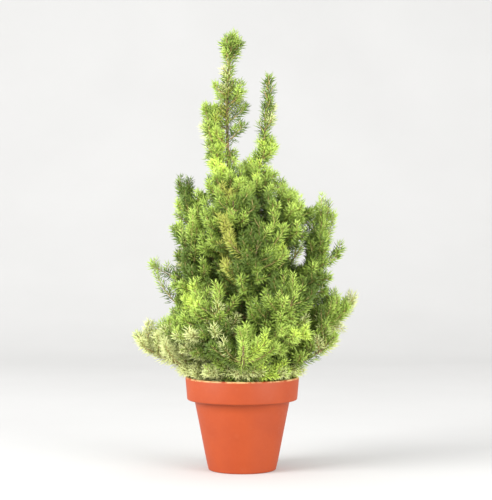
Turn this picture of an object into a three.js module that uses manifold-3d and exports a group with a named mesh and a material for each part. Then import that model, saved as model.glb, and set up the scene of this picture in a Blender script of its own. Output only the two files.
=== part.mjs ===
// A young dwarf Alberta spruce growing in a terracotta pot, as closed solids.
// Millimetres, +Z up. The origin is the middle of the pot's flat underside, the front of the plant
// looks along -Y and +X is on the right of the front view.
// The tree is grown by rule: a trunk, tiers of boughs that sweep out and then up, and on each bough a
// mass of needle shoots that keeps to the space nearer to its own stem than to any other stem.
import * as THREE from "three";
import Module from "manifold-3d";
import { mergeVertices } from "three/addons/utils/BufferGeometryUtils.js";

const wasm = await Module();
wasm.setup();

// Clearance between two pieces that stand against each other
const GAP = 0.3;
const UP = new THREE.Vector3(0, 0, 1);
const GOLDEN_ANGLE = THREE.MathUtils.degToRad(137.508);

// Driving sizes of the pot
const POT = {
  rimDiameter: 120,
  height: 98,
  bandHeight: 24,
  bandFootDiameter: 116.4,
  shoulderDiameter: 101,
  footDiameter: 72,
  wall: 4.4,
  floor: 6,
  edgeRound: 1.6,
  ledgeAbove: 3,
  ledgeBelow: 4,
  ledgeInset: 0.6,
  floorCorner: 3,
  sides: 32,
  drainHoles: 4,
  drainDiameter: 9,
  drainCircle: 40,
  drainSides: 8,
};

// Driving sizes of the potting mix
const SOIL = { below: 11, edgeDip: 2.2, flatRadius: 15, rings: 3, sides: 20 };
const CRUMB = { height: 0.9, waveX: 0.61, waveY: 0.53 };
const GROUND = POT.height - SOIL.below;

// Driving sizes of the trunk, from its flat cut on the potting mix to the foot of the leader
const TRUNK = {
  footRadius: 5.0,
  topRadius: 1.9,
  flare: 3.6,
  flareHeight: 7,
  top: 330,
  leanX: -15,
  leanY: 4,
  bow: 5,
  buttresses: 3,
  buttress: 0.12,
  sides: 9,
  steps: 12,
  crowding: 1.6,
};

// The leader goes on from the trunk to the highest tip of the plant
const LEADER = { tip: [-9, 3, 465], swayX: -7, swayAt: 0.55, tipRadius: 0.7, fullness: 0.7 };

// Tiers of boughs, from the pot's rim up. Heights are above the pot's underside, and a tip's reach is
// measured from the pot's axis, shifted along X. Angles are in degrees, anticlockwise from +X, and the
// front is at 270.
const TIERS = [
  { name: "skirt", count: 5, first: 196, base: [96, 106], tip: [138, 152], reach: 109, shift: -4, foot: 2.9 },
  { name: "low", count: 6, first: 236, base: [114, 140], tip: [188, 208], reach: 97, shift: 20, foot: 3.0 },
  { name: "mid", count: 5, first: 196, base: [150, 182], tip: [250, 268], reach: 83, shift: 14, foot: 2.7 },
  { name: "high", count: 5, first: 178, base: [198, 230], tip: [290, 306], reach: 61, shift: 5, foot: 2.3 },
  { name: "top", count: 2, first: 262, base: [246, 258], tip: [312, 322], reach: 24, shift: 0, foot: 2.0 },
];
// How much a bough's reach and its angle vary about its tier's own
const REACH_VARIES = 0.06;
const ANGLE_VARIES = 0.28;

// Two spires stand up beside the leader: a thin second leader on the right and a lower one on the left
const SPIRES = [
  { name: "second_leader", base: 238, tip: [29, -6, 416], foot: 2.3, bareShare: 0.5, fullness: 0.62 },
  { name: "left_spire", base: 270, tip: [-35, 5, 382], foot: 1.9, bareShare: 0.4, fullness: 0.8 },
];

// A bough's course: first outwards, then up. Shares of the way from its foot to its tip
const SWEEP = { out: 0.76, rise: 0.22 };
// Share of the course that is bare bough, before it enters its mass of foliage
const BARE_SHARE = 0.28;
const BOUGH = { tipRadius: 0.75, taperTo: 0.9, sides: 5, steps: 4 };

// Needles stand out of a core as teeth, and sweep forward along it
const NEEDLE = { length: 10.5, sweep: 6.5, varies: 0.2, shorten: 0.35, twist: 0.5, onDense: 0.85 };

// A mass's own stem. On a dense mass it carries a core that fills the mass's space
const STEM = { core: 29, coreFrom: 0.1, swellFrom: 0.3, leastSwell: 0.1, leastCore: 0.8 };
const DENSE_STEM = { sides: 10, rings: 7, bareRings: 2 };
const SLIM_STEM = { sides: 6, rings: 11, bareRings: 2 };

// Side shoots stand out of the stem at a spread angle in degrees, set by the golden angle round it
const SHOOT = {
  length: 40,
  varies: 0.15,
  spread: 52,
  lift: 0.38,
  taper: 0.45,
  core: 1.25,
  coreTaper: 0.6,
  firstPlace: 0.1,
  lastPlace: 0.84,
  firstTurn: 0.7,
  turnVaries: 0.5,
  bendAt: 0.55,
  rise: 0.2,
};
const DENSE_SHOOTS = { count: 4, sides: 6, rings: 4, bareRings: 2 };
const SLIM_SHOOTS = { count: 5, sides: 6, rings: 4, bareRings: 1 };

// A needle or core keeps this far on its own side of the middle between two stems
const SPACE_MARGIN = 1.1;
// The tree's seed, and the steps in it from tier to tier, bough to bough, mass to mass, shoot to shoot
const SEED = { tree: 4021, tier: 1009, bough: 31, mass: 977, shoot: 53 };

const COLOURS = {
  pot: { color: 0xdb663f, roughness: 0.62 },
  soil: { color: 0x3a2a1e, roughness: 0.95 },
  bark: { color: 0x8a6844, roughness: 0.85 },
  foliage: { color: 0x6f8f3a, roughness: 0.6 },
  foliage_tips: { color: 0x9cc043, roughness: 0.55 },
};

/** A repeatable stream of numbers from 0 to 1. */
function seeded(seed) {
  let state = seed >>> 0;
  return () => {
    state = (state + 0x6d2b79f5) >>> 0;
    let mixed = Math.imul(state ^ (state >>> 15), state | 1);
    mixed = (mixed + Math.imul(mixed ^ (mixed >>> 7), mixed | 61)) ^ mixed;
    return ((mixed ^ (mixed >>> 14)) >>> 0) / 4294967296;
  };
}

/** A factor that varies evenly about 1. */
function about(random, varies) {
  return 1 + varies * (2 * random() - 1);
}

/** A named material of the plant or its pot. */
function material(name) {
  return new THREE.MeshStandardMaterial({ name, metalness: 0, ...COLOURS[name] });
}

/** The closed solid of a geometry, whose shared corners are merged first. */
function solidOf(geometry) {
  const bare = geometry.clone();
  bare.deleteAttribute("normal");
  bare.deleteAttribute("uv");
  const merged = mergeVertices(bare, 1e-3);
  const kept = [];
  for (let i = 0; i < merged.index.count; i += 3) {
    const [a, b, c] = [merged.index.getX(i), merged.index.getX(i + 1), merged.index.getX(i + 2)];
    if (a !== b && b !== c && a !== c) kept.push(a, b, c);
  }
  return new wasm.Manifold(
    new wasm.Mesh({
      numProp: 3,
      vertProperties: new Float32Array(merged.attributes.position.array),
      triVerts: new Uint32Array(kept),
    }),
  );
}

/** The largest body of a solid, without any loose scraps that a cut left. */
function largestBody(solid) {
  return solid.decompose().reduce((best, body) => (body.volume() > best.volume() ? body : best));
}

/** A named mesh of a solid. */
function meshOf(name, solid, materialName) {
  const { numVert, numProp, vertProperties, triVerts } = solid.getMesh();
  const corners = new Float32Array(numVert * 3);
  for (let i = 0; i < numVert; i++) {
    corners.set(vertProperties.subarray(i * numProp, i * numProp + 3), i * 3);
  }
  const geometry = new THREE.BufferGeometry();
  geometry.setAttribute("position", new THREE.BufferAttribute(corners, 3));
  geometry.setIndex(new THREE.BufferAttribute(triVerts, 1));
  geometry.computeVertexNormals();
  const mesh = new THREE.Mesh(geometry, material(materialName));
  mesh.name = name;
  return mesh;
}

/** Points of a quarter circle in a profile, from one angle to another in degrees. */
function arc(centreX, centreY, radius, fromDegrees, toDegrees, steps = 2) {
  return Array.from({ length: steps + 1 }, (_, i) => {
    const angle = THREE.MathUtils.degToRad(fromDegrees + ((toDegrees - fromDegrees) * i) / steps);
    return new THREE.Vector2(centreX + radius * Math.cos(angle), centreY + radius * Math.sin(angle));
  });
}

/** A profile of radii and heights turned about the Z axis. */
function turned(profile, sides) {
  return solidOf(new THREE.LatheGeometry(profile, sides).rotateX(Math.PI / 2));
}

const BAND_FOOT = POT.height - POT.bandHeight;
const POT_INSIDE = {
  rim: POT.rimDiameter / 2 - POT.wall,
  ledge: POT.bandFootDiameter / 2 - POT.wall - POT.ledgeInset,
  shoulder: POT.shoulderDiameter / 2 - POT.wall,
  foot: POT.footDiameter / 2 - POT.wall,
  ledgeTop: BAND_FOOT + POT.ledgeAbove,
  ledgeFoot: BAND_FOOT - POT.ledgeBelow,
  cornerTop: POT.floor + POT.floorCorner,
};

/** Radius of the pot's inner wall at a height. */
function potInside(z) {
  const { rim, ledge, shoulder, foot, ledgeTop, ledgeFoot } = POT_INSIDE;
  const between = (low, high, from, to) => from + ((to - from) * (z - low)) / (high - low);
  if (z > ledgeTop) return between(ledgeTop, POT.height, ledge, rim);
  if (z > ledgeFoot) return between(ledgeFoot, ledgeTop, shoulder, ledge);
  return between(POT.floor, ledgeFoot, foot, shoulder);
}

/** The pot: a tapering wall under a plain band, with drain holes through its floor. */
function makePot() {
  const round = POT.edgeRound;
  const [rim, bandFoot] = [POT.rimDiameter / 2, POT.bandFootDiameter / 2];
  const [shoulder, foot] = [POT.shoulderDiameter / 2, POT.footDiameter / 2];
  const inside = [POT_INSIDE.ledgeTop, POT_INSIDE.ledgeFoot, POT_INSIDE.cornerTop];
  const profile = [
    new THREE.Vector2(0, 0),
    ...arc(foot - round, round, round, -90, 0),
    new THREE.Vector2(shoulder, BAND_FOOT),
    ...arc(bandFoot - round, BAND_FOOT + round, round, -90, 0),
    ...arc(rim - round, POT.height - round, round, 0, 90),
    ...arc(POT_INSIDE.rim + round, POT.height - round, round, 90, 180),
    ...inside.map((z) => new THREE.Vector2(potInside(z), z)),
    new THREE.Vector2(POT_INSIDE.foot - POT.floorCorner, POT.floor),
    new THREE.Vector2(0, POT.floor),
  ];
  const drainRadius = POT.drainDiameter / 2;
  const drain = new THREE.CylinderGeometry(drainRadius, drainRadius, 4 * POT.floor, POT.drainSides);
  drain.rotateX(Math.PI / 2);
  let pot = turned(profile, POT.sides);
  for (let i = 0; i < POT.drainHoles; i++) {
    const angle = ((i + 0.5) / POT.drainHoles) * 2 * Math.PI;
    const [x, y] = [(POT.drainCircle / 2) * Math.cos(angle), (POT.drainCircle / 2) * Math.sin(angle)];
    pot = pot.subtract(solidOf(drain.clone().translate(x, y, 0)));
  }
  return meshOf("pot", pot, "pot");
}

/** The potting mix, a low crumbly mound that is flat round the trunk's foot. */
function makeSoil() {
  const under = [POT_INSIDE.cornerTop, POT_INSIDE.ledgeFoot, POT_INSIDE.ledgeTop];
  const edgeZ = GROUND - SOIL.edgeDip;
  const edge = potInside(edgeZ) - GAP;
  const surface = Array.from({ length: SOIL.rings }, (_, i) => {
    const share = (i + 1) / (SOIL.rings + 0.5);
    return new THREE.Vector2(edge + (SOIL.flatRadius - edge) * share, GROUND - SOIL.edgeDip * (1 - share));
  });
  const profile = [
    new THREE.Vector2(0, POT.floor + GAP),
    new THREE.Vector2(POT_INSIDE.foot - POT.floorCorner - GAP, POT.floor + GAP),
    ...under.map((z) => new THREE.Vector2(potInside(z) - GAP, z)),
    new THREE.Vector2(edge, edgeZ),
    ...surface,
    new THREE.Vector2(SOIL.flatRadius, GROUND),
    new THREE.Vector2(0, GROUND),
  ];
  const geometry = new THREE.LatheGeometry(profile, SOIL.sides).rotateX(Math.PI / 2);
  const place = geometry.attributes.position;
  for (let i = 0; i < place.count; i++) {
    const [x, y, z] = [place.getX(i), place.getY(i), place.getZ(i)];
    if (z < edgeZ + GAP || Math.hypot(x, y) < SOIL.flatRadius + GAP) continue;
    place.setZ(i, z + CRUMB.height * Math.sin(x * CRUMB.waveX) * Math.cos(y * CRUMB.waveY + 1));
  }
  return meshOf("soil", solidOf(geometry), "soil");
}

/** The trunk's middle at a height: it leans, and bows on the way. */
function trunkAxis(z) {
  const share = (z - GROUND) / (TRUNK.top - GROUND);
  const bow = TRUNK.bow * Math.sin(Math.PI * share);
  return new THREE.Vector3(TRUNK.leanX * share * share - bow / 2, TRUNK.leanY * share + bow, z);
}

/** The trunk's radius at a height, with the root flare at its foot. */
function trunkRadius(z) {
  const share = (z - GROUND) / (TRUNK.top - GROUND);
  const flare = TRUNK.flare * Math.exp((GROUND - z) / TRUNK.flareHeight);
  return THREE.MathUtils.lerp(TRUNK.footRadius, TRUNK.topRadius, share) + flare;
}

/** Frames that ride along a course without twisting: the point, the tangent and two normals. */
function framesAlong(course, shares) {
  const frames = [];
  let normal = null;
  for (const share of shares) {
    const at = course.getPoint(share);
    const along = course.getTangent(share).normalize();
    const guess = normal ?? (Math.abs(along.z) > 0.9 ? new THREE.Vector3(1, 0, 0) : UP);
    normal = guess.clone().addScaledVector(along, -guess.dot(along)).normalize();
    frames.push({ at, along, normal, across: new THREE.Vector3().crossVectors(along, normal) });
  }
  return frames;
}

/** A closed solid through rings of points, with a middle point at each end. toothed(k, j) tells tips. */
function ringed(rings, start, end, toothed = () => false) {
  const sides = rings[0].length;
  const corners = [...rings.flat(), start, end].flatMap((p) => [p.x, p.y, p.z]);
  const [startIndex, endIndex] = [rings.length * sides, rings.length * sides + 1];
  const faces = [];
  for (let j = 0; j < sides; j++) {
    const next = (j + 1) % sides;
    faces.push(startIndex, next, j);
    const last = (rings.length - 1) * sides;
    faces.push(last + j, last + next, endIndex);
    for (let k = 0; k + 1 < rings.length; k++) {
      const [a, b] = [k * sides + j, k * sides + next];
      const [c, d] = [a + sides, b + sides];
      // The diagonal never joins two tips, so that each tooth stands alone
      if (toothed(k, j)) faces.push(a, b, c, b, d, c);
      else faces.push(a, b, d, a, d, c);
    }
  }
  const geometry = new THREE.BufferGeometry();
  geometry.setAttribute("position", new THREE.Float32BufferAttribute(corners, 3));
  geometry.setIndex(faces);
  return solidOf(geometry);
}

/** A tapering limb along a course, between two shares of it. */
function limb(course, from, to, radiusAt, sides, steps) {
  const shares = Array.from({ length: steps + 1 }, (_, i) => from + ((to - from) * i) / steps);
  const frames = framesAlong(course, shares);
  const rings = frames.map(({ at, normal, across }, i) =>
    Array.from({ length: sides }, (_, j) => {
      const angle = (j / sides) * 2 * Math.PI;
      const radius = radiusAt(shares[i]);
      return at
        .clone()
        .addScaledVector(normal, radius * Math.cos(angle))
        .addScaledVector(across, radius * Math.sin(angle));
    }),
  );
  return ringed(rings, frames[0].at, frames[frames.length - 1].at);
}

/** The trunk's course, as a curve from its foot to its top. */
class TrunkCourse extends THREE.Curve {
  getPoint(share) {
    return trunkAxis(GROUND + GAP + (TRUNK.top - GROUND - GAP) * share);
  }
}

/** The trunk, or the same grown by an allowance so that its neighbours can be cut clear of it. */
function trunkSolid(allowance) {
  const course = new TrunkCourse();
  const shares = Array.from({ length: TRUNK.steps + 1 }, (_, i) => (i / TRUNK.steps) ** TRUNK.crowding);
  const rings = shares.map((share) => {
    const at = course.getPoint(share);
    // Shallow buttresses run up from the root flare
    const buttress = TRUNK.buttress * Math.exp((GROUND - at.z) / (2 * TRUNK.flareHeight));
    return Array.from({ length: TRUNK.sides }, (_, j) => {
      const angle = (j / TRUNK.sides) * 2 * Math.PI;
      const radius = (trunkRadius(at.z) + allowance) * (1 + buttress * Math.cos(TRUNK.buttresses * angle));
      return new THREE.Vector3(at.x + radius * Math.cos(angle), at.y + radius * Math.sin(angle), at.z);
    });
  });
  return ringed(rings, course.getPoint(0), course.getPoint(1));
}

/** One bough from its foot on the trunk's axis to its tip. Its fullness is 1 on a dense mass. */
function planBough(name, footZ, tip, footRadius, bareShare, fullness) {
  const foot = trunkAxis(footZ);
  const turn = new THREE.Vector3(
    foot.x + (tip.x - foot.x) * SWEEP.out,
    foot.y + (tip.y - foot.y) * SWEEP.out,
    foot.z + (tip.z - foot.z) * SWEEP.rise,
  );
  const course = new THREE.QuadraticBezierCurve3(foot, turn, tip);
  const taper = (share) => Math.min(1, share / BOUGH.taperTo);
  const radiusAt = (share) => THREE.MathUtils.lerp(footRadius, BOUGH.tipRadius, taper(share));
  return { name, course, bareShare, radiusAt, fullness };
}

/** The boughs of one tier, spread round the trunk. Neighbours start at different heights. */
function planTier(tier, seed) {
  return Array.from({ length: tier.count }, (_, i) => {
    const random = seeded(seed + SEED.bough * i);
    const rank = Math.floor(i / 2) + (i % 2) * Math.ceil(tier.count / 2);
    const footZ = THREE.MathUtils.lerp(...tier.base, rank / (tier.count - 1));
    const degrees = tier.first + (360 / tier.count) * (i + ANGLE_VARIES * (random() - 0.5));
    const azimuth = THREE.MathUtils.degToRad(degrees);
    const reach = tier.reach * about(random, REACH_VARIES);
    const tipZ = THREE.MathUtils.lerp(...tier.tip, random());
    const tip = new THREE.Vector3(tier.shift + reach * Math.cos(azimuth), reach * Math.sin(azimuth), tipZ);
    return planBough(`${tier.name}_${i + 1}`, footZ, tip, tier.foot, BARE_SHARE, 1);
  });
}

/** Every bough of the tree, from the pot's rim up, and then the spires'. */
function planBoughs() {
  const tiers = TIERS.flatMap((tier, i) => planTier(tier, SEED.tree + SEED.tier * i));
  const spires = SPIRES.map(({ name, base, tip, foot, bareShare, fullness }) =>
    planBough(name, base, new THREE.Vector3(...tip), foot, bareShare, fullness),
  );
  return [...tiers, ...spires];
}

/** The leader's stem, which goes on from the trunk's top. */
function planLeader() {
  const foot = trunkAxis(TRUNK.top);
  const tip = new THREE.Vector3(...LEADER.tip);
  const middle = foot.clone().lerp(tip, LEADER.swayAt);
  middle.x += LEADER.swayX;
  const course = new THREE.QuadraticBezierCurve3(foot, middle, tip);
  const radiusAt = (share) => THREE.MathUtils.lerp(TRUNK.topRadius, LEADER.tipRadius, share);
  return { name: "leader", course, bareShare: 0, radiusAt, fullness: LEADER.fullness };
}

/** Points along a course between two shares of it. */
function chainAlong(course, from, to, count) {
  return Array.from({ length: count }, (_, i) => course.getPoint(from + ((to - from) * i) / (count - 1)));
}

/** Points along the part of a bough's course that its mass of foliage grows on. */
function stemPoints({ course, bareShare }) {
  return chainAlong(course, bareShare, 1, 14);
}

/** The least distance from a point to a chain of points. */
function distanceTo(chain, point) {
  const segment = new THREE.Line3();
  const nearest = new THREE.Vector3();
  let least = Infinity;
  for (let i = 0; i + 1 < chain.length; i++) {
    segment.set(chain[i], chain[i + 1]).closestPointToPoint(point, true, nearest);
    least = Math.min(least, nearest.distanceTo(point));
  }
  return least;
}

/** True if a point is clear of the pot and of the potting mix in it. */
function clearOfPot(point) {
  const radius = Math.hypot(point.x, point.y);
  if (point.z > POT.height + 2 * GAP) return true;
  return point.z > GROUND + 3 * GAP && radius < potInside(POT.height) - 4 * GAP;
}

/** The space of one mass: nearer to its own stem than to any other, and clear of limbs and pot. */
class Space {
  constructor(own, plans) {
    this.own = stemPoints(own);
    this.others = plans.filter((plan) => plan !== own).map((plan) => stemPoints(plan));
    this.limbs = plans
      .filter((plan) => plan.bareShare > 0)
      .map(({ course, bareShare, radiusAt }) => {
        return { chain: chainAlong(course, 0, bareShare, 9), radius: radiusAt(0) };
      });
    this.limbs.push({ chain: chainAlong(new TrunkCourse(), 0, 1, 12), radius: TRUNK.footRadius });
  }

  /** How far a core may reach from a point of the stem, one way, and still lie in this space. */
  reachFrom(point, way, most) {
    for (let share = 1; share > 0.1; share -= 0.125) {
      if (this.holds(point.clone().addScaledVector(way, most * share))) return most * share;
    }
    return STEM.leastCore;
  }

  /** True if the point lies in this space with a margin to spare. */
  holds(point) {
    if (!clearOfPot(point)) return false;
    const mine = distanceTo(this.own, point);
    if (this.others.some((chain) => distanceTo(chain, point) < mine + 2 * SPACE_MARGIN)) return false;
    return this.limbs.every(({ chain, radius }) => distanceTo(chain, point) > radius + 2 * GAP);
  }
}

/** A shoot of needles: a core along a course, with needles that stand out of it as teeth. */
function needleShoot(course, from, { sides, rings, bareRings }, { coreAt, needle, random, space }) {
  const shares = Array.from({ length: rings + 1 }, (_, i) => from + ((1 - from) * i) / (rings + 1));
  const frames = framesAlong(course, shares);
  const isTip = (k, j) => (k + j) % 2 === 0;
  const points = frames.map(({ at, along, normal, across }, k) => {
    const share = k / rings;
    return Array.from({ length: sides }, (_, j) => {
      const angle = ((j + NEEDLE.twist * Math.sin(k)) / sides) * 2 * Math.PI;
      const outward = normal.clone().multiplyScalar(Math.cos(angle)).addScaledVector(across, Math.sin(angle));
      const root = at.clone().addScaledVector(outward, coreAt(share, at, outward));
      const varied = about(random, NEEDLE.varies);
      if (k < bareRings || !isTip(k, j)) return root;
      const reach = needle * (1 - NEEDLE.shorten * share) * varied;
      const tip = root.clone().addScaledVector(outward, reach).addScaledVector(along, NEEDLE.sweep * varied);
      const halfway = root.clone().lerp(tip, 0.6);
      return space.holds(tip) && space.holds(halfway) ? tip : root;
    });
  });
  return ringed(points, frames[0].at, course.getPoint(1), isTip);
}

/** The course of one side shoot of a mass: out of the stem, then turning up. */
function sideCourse(plan, index, count, random) {
  const place = (index + 0.5) / count;
  const onStem = THREE.MathUtils.lerp(SHOOT.firstPlace, SHOOT.lastPlace, place);
  const share = THREE.MathUtils.lerp(plan.bareShare, 1, onStem);
  const start = plan.course.getPoint(share);
  const along = plan.course.getTangent(share).normalize();
  const abeam = new THREE.Vector3().crossVectors(UP, along).normalize();
  const over = new THREE.Vector3().crossVectors(along, abeam);
  const turn = index * GOLDEN_ANGLE + SHOOT.firstTurn + SHOOT.turnVaries * random();
  const spread = THREE.MathUtils.degToRad(SHOOT.spread * about(random, SHOOT.varies));
  const side = abeam.multiplyScalar(Math.cos(turn)).addScaledVector(over, Math.sin(turn));
  const way = along.multiplyScalar(Math.cos(spread)).addScaledVector(side, Math.sin(spread));
  way.addScaledVector(UP, SHOOT.lift).normalize();
  const reach = SHOOT.length * plan.fullness * (1 - SHOOT.taper * place) * about(random, SHOOT.varies);
  const bend = start.clone().addScaledVector(way, reach * SHOOT.bendAt);
  const level = reach * (1 - SHOOT.rise);
  const end = start.clone().addScaledVector(way, level).addScaledVector(UP, reach * SHOOT.rise);
  return new THREE.QuadraticBezierCurve3(start, bend, end);
}

/** Millimetres of a course for each whole unit of its share, at one share. */
function speedAt(course, share) {
  const step = 1e-3;
  return course.getPoint(share).distanceTo(course.getPoint(share + step)) / step;
}

/** True if a shoot's course stays in its mass's space. */
function staysIn(space, course) {
  return [0.45, 0.75, 1].every((share) => space.holds(course.getPoint(share)));
}

/** How far a dense mass's core reaches from its stem, one way, at a share of the stem. */
function denseCore(plan, space) {
  return (share, at, outward) => {
    if (share < STEM.coreFrom) return plan.radiusAt(plan.bareShare);
    const grown = (share - STEM.coreFrom) / (1 - STEM.coreFrom);
    const swell = Math.sin(Math.PI * THREE.MathUtils.lerp(STEM.swellFrom, 1, grown));
    return space.reachFrom(at, outward, STEM.core * Math.max(STEM.leastSwell, swell));
  };
}

/** The stem of a mass, with its needles, 0.3 mm clear of the limb that it goes on from. */
function massStem(plan, dense, growth) {
  const from = plan.bareShare + GAP / speedAt(plan.course, plan.bareShare);
  const slimCore = (share) => plan.radiusAt(THREE.MathUtils.lerp(plan.bareShare, 1, share));
  const coreAt = dense ? denseCore(plan, growth.space) : slimCore;
  const needle = NEEDLE.length * (dense ? NEEDLE.onDense : 1);
  return needleShoot(plan.course, from, dense ? DENSE_STEM : SLIM_STEM, { ...growth, coreAt, needle });
}

/** One mass of foliage: its stem with needles, and side shoots fused to it by their roots. */
function makeMass(plan, index, plans) {
  const dense = plan.fullness === 1;
  const seed = SEED.tree + SEED.mass * (index + 1);
  const space = new Space(plan, plans);
  const shoots = dense ? DENSE_SHOOTS : SLIM_SHOOTS;
  const coreAt = (share) => SHOOT.core * (1 - SHOOT.coreTaper * share);
  let mass = massStem(plan, dense, { random: seeded(seed), space });
  for (let i = 0; i < shoots.count; i++) {
    const random = seeded(seed + SEED.shoot * (i + 1));
    const course = sideCourse(plan, i, shoots.count, random);
    if (!staysIn(space, course)) continue;
    mass = mass.add(needleShoot(course, 0, shoots, { coreAt, needle: NEEDLE.length, random, space }));
  }
  return mass;
}

/** The boughs' meshes, coped to the trunk, and the room that every limb takes up. */
function makeBoughs(boughs) {
  const trunkRoom = trunkSolid(GAP);
  const limbRoom = [trunkRoom];
  const meshes = boughs.map(({ name, course, bareShare, radiusAt }) => {
    const grown = (share) => radiusAt(share) + GAP;
    const bough = limb(course, 0, bareShare, radiusAt, BOUGH.sides, BOUGH.steps);
    limbRoom.push(limb(course, 0, bareShare, grown, BOUGH.sides, BOUGH.steps));
    return meshOf(`${name}_bough`, largestBody(bough.subtract(trunkRoom)), "bark");
  });
  return { meshes, limbRoom };
}

/** The whole plant in its pot. */
function makePlant() {
  const boughs = planBoughs();
  const plans = [...boughs, planLeader()];
  const { meshes, limbRoom } = makeBoughs(boughs);
  const masses = plans.map((plan, index) => {
    let mass = makeMass(plan, index, plans);
    for (const room of limbRoom) {
      if (mass.intersect(room).volume() > 0) mass = mass.subtract(room);
    }
    const colour = plan.fullness === 1 ? "foliage" : "foliage_tips";
    return meshOf(`${plan.name}_needles`, largestBody(mass), colour);
  });
  const plant = new THREE.Group();
  plant.add(makePot(), makeSoil(), meshOf("trunk", trunkSolid(0), "bark"), ...meshes, ...masses);
  return plant;
}

export default makePlant();
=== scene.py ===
"""Dress a young dwarf alberta spruce in its terracotta pot for close viewing.

The rule of growth is the part's own: a trunk, tiers of boughs that sweep out and then up, and on
each bough a mass of needle shoots that keeps to the space nearest its own stem. Here each mass is
carried on to finer twigs and to needles of nearly their real size. Growth is worked out in
millimetres, with +Z up and the front at -Y, and every mesh is written in metres.
"""

from __future__ import annotations

import logging
import math
from collections.abc import Iterable, Sequence
from dataclasses import dataclass, field, replace
from enum import Enum

import bpy
import numpy as np
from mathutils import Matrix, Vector


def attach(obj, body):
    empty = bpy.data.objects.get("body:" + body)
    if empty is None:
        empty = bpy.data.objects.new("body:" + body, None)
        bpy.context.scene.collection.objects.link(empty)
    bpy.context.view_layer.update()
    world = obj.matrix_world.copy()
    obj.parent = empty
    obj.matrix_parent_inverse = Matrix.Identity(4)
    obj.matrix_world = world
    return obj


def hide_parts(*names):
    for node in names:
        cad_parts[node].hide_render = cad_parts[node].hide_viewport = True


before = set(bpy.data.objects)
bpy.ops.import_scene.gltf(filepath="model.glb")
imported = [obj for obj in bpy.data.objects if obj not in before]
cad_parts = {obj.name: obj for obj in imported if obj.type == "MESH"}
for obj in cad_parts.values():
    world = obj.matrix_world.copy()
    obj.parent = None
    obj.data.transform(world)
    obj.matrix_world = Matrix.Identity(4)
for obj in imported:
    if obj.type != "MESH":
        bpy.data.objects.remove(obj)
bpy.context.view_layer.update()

LOG = logging.getLogger("spruce")
BODY = "root"
MM = 0.001
UP = np.array((0.0, 0.0, 1.0))
GOLDEN_ANGLE = math.radians(137.508)
Colour = tuple[float, float, float]


# Numbers and curves


class Stream:
    """A repeatable stream of numbers from 0 to 1, drawn as the part's source draws them."""

    MASK = 0xFFFFFFFF
    STEP = 0x6D2B79F5

    def __init__(self, seed: int) -> None:
        """Start the stream from the whole number that fixes every draw."""
        self.state = seed & self.MASK

    def draw(self) -> float:
        """Draw the next number.

        Returns:
            A number from 0 up to 1.
        """
        self.state = (self.state + self.STEP) & self.MASK
        mixed = ((self.state ^ (self.state >> 15)) * (self.state | 1)) & self.MASK
        mixed = ((mixed + (mixed ^ (mixed >> 7)) * (mixed | 61)) ^ mixed) & self.MASK
        return (mixed ^ (mixed >> 14)) / (self.MASK + 1)

    def about(self, varies: float) -> float:
        """Draw a factor that varies evenly about 1, by this much at most."""
        return 1 + varies * (2 * self.draw() - 1)


def lerp(low: float | np.ndarray, high: float | np.ndarray, share: float) -> float | np.ndarray:
    """Go a share of the way from one value to another."""
    return low + (high - low) * share


def unit(vectors: np.ndarray) -> np.ndarray:
    """Bring one vector, or one on each row, to length 1."""
    return vectors / np.maximum(np.linalg.norm(vectors, axis=-1, keepdims=True), 1e-9)


@dataclass(frozen=True)
class Course:
    """A quadratic curve from a foot, past a bend, to a tip, in millimetres."""

    foot: np.ndarray
    bend: np.ndarray
    tip: np.ndarray

    LENGTH_POINTS = 9

    def points(self, shares: np.ndarray | float) -> np.ndarray:
        """Find the points at shares of the way along the curve."""
        s = np.asarray(shares, float)[..., None]
        return (1 - s) ** 2 * self.foot + 2 * s * (1 - s) * self.bend + s**2 * self.tip

    def headings(self, shares: np.ndarray | float) -> np.ndarray:
        """Find the way the curve runs at each share, as unit vectors."""
        s = np.asarray(shares, float)[..., None]
        return unit((1 - s) * (self.bend - self.foot) + s * (self.tip - self.bend))

    def length(self) -> float:
        """The curve's length in millimetres."""
        points = self.points(np.linspace(0, 1, self.LENGTH_POINTS))
        return float(np.linalg.norm(np.diff(points, axis=0), axis=1).sum())

    def cut(self, share: float) -> Course:
        """The same curve, ended at a share of the way along it."""
        return Course(self.foot, lerp(self.foot, self.bend, share), self.points(share))


# The plan of the tree, as in the part's source


@dataclass(frozen=True)
class Tier:
    """One tier of boughs: how many, where they start and end, and their radius at the trunk."""

    name: str
    count: int
    first: float
    base: tuple[float, float]
    tip: tuple[float, float]
    reach: float
    shift: float
    foot: float


@dataclass(frozen=True)
class Spire:
    """One upright shoot beside the leader."""

    name: str
    base: float
    tip: tuple[float, float, float]
    foot: float
    bare_share: float


@dataclass(frozen=True)
class Bough:
    """One bough from the trunk's axis to the tip of its mass, which is dense on all but the spires."""

    name: str
    course: Course
    bare_share: float
    foot_radius: float
    tip_radius: float
    taper_to: float
    dense: bool

    def radius(self, share: float) -> float:
        """The bough's radius at a share of its course, in millimetres."""
        return lerp(self.foot_radius, self.tip_radius, min(1.0, share / self.taper_to))


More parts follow.
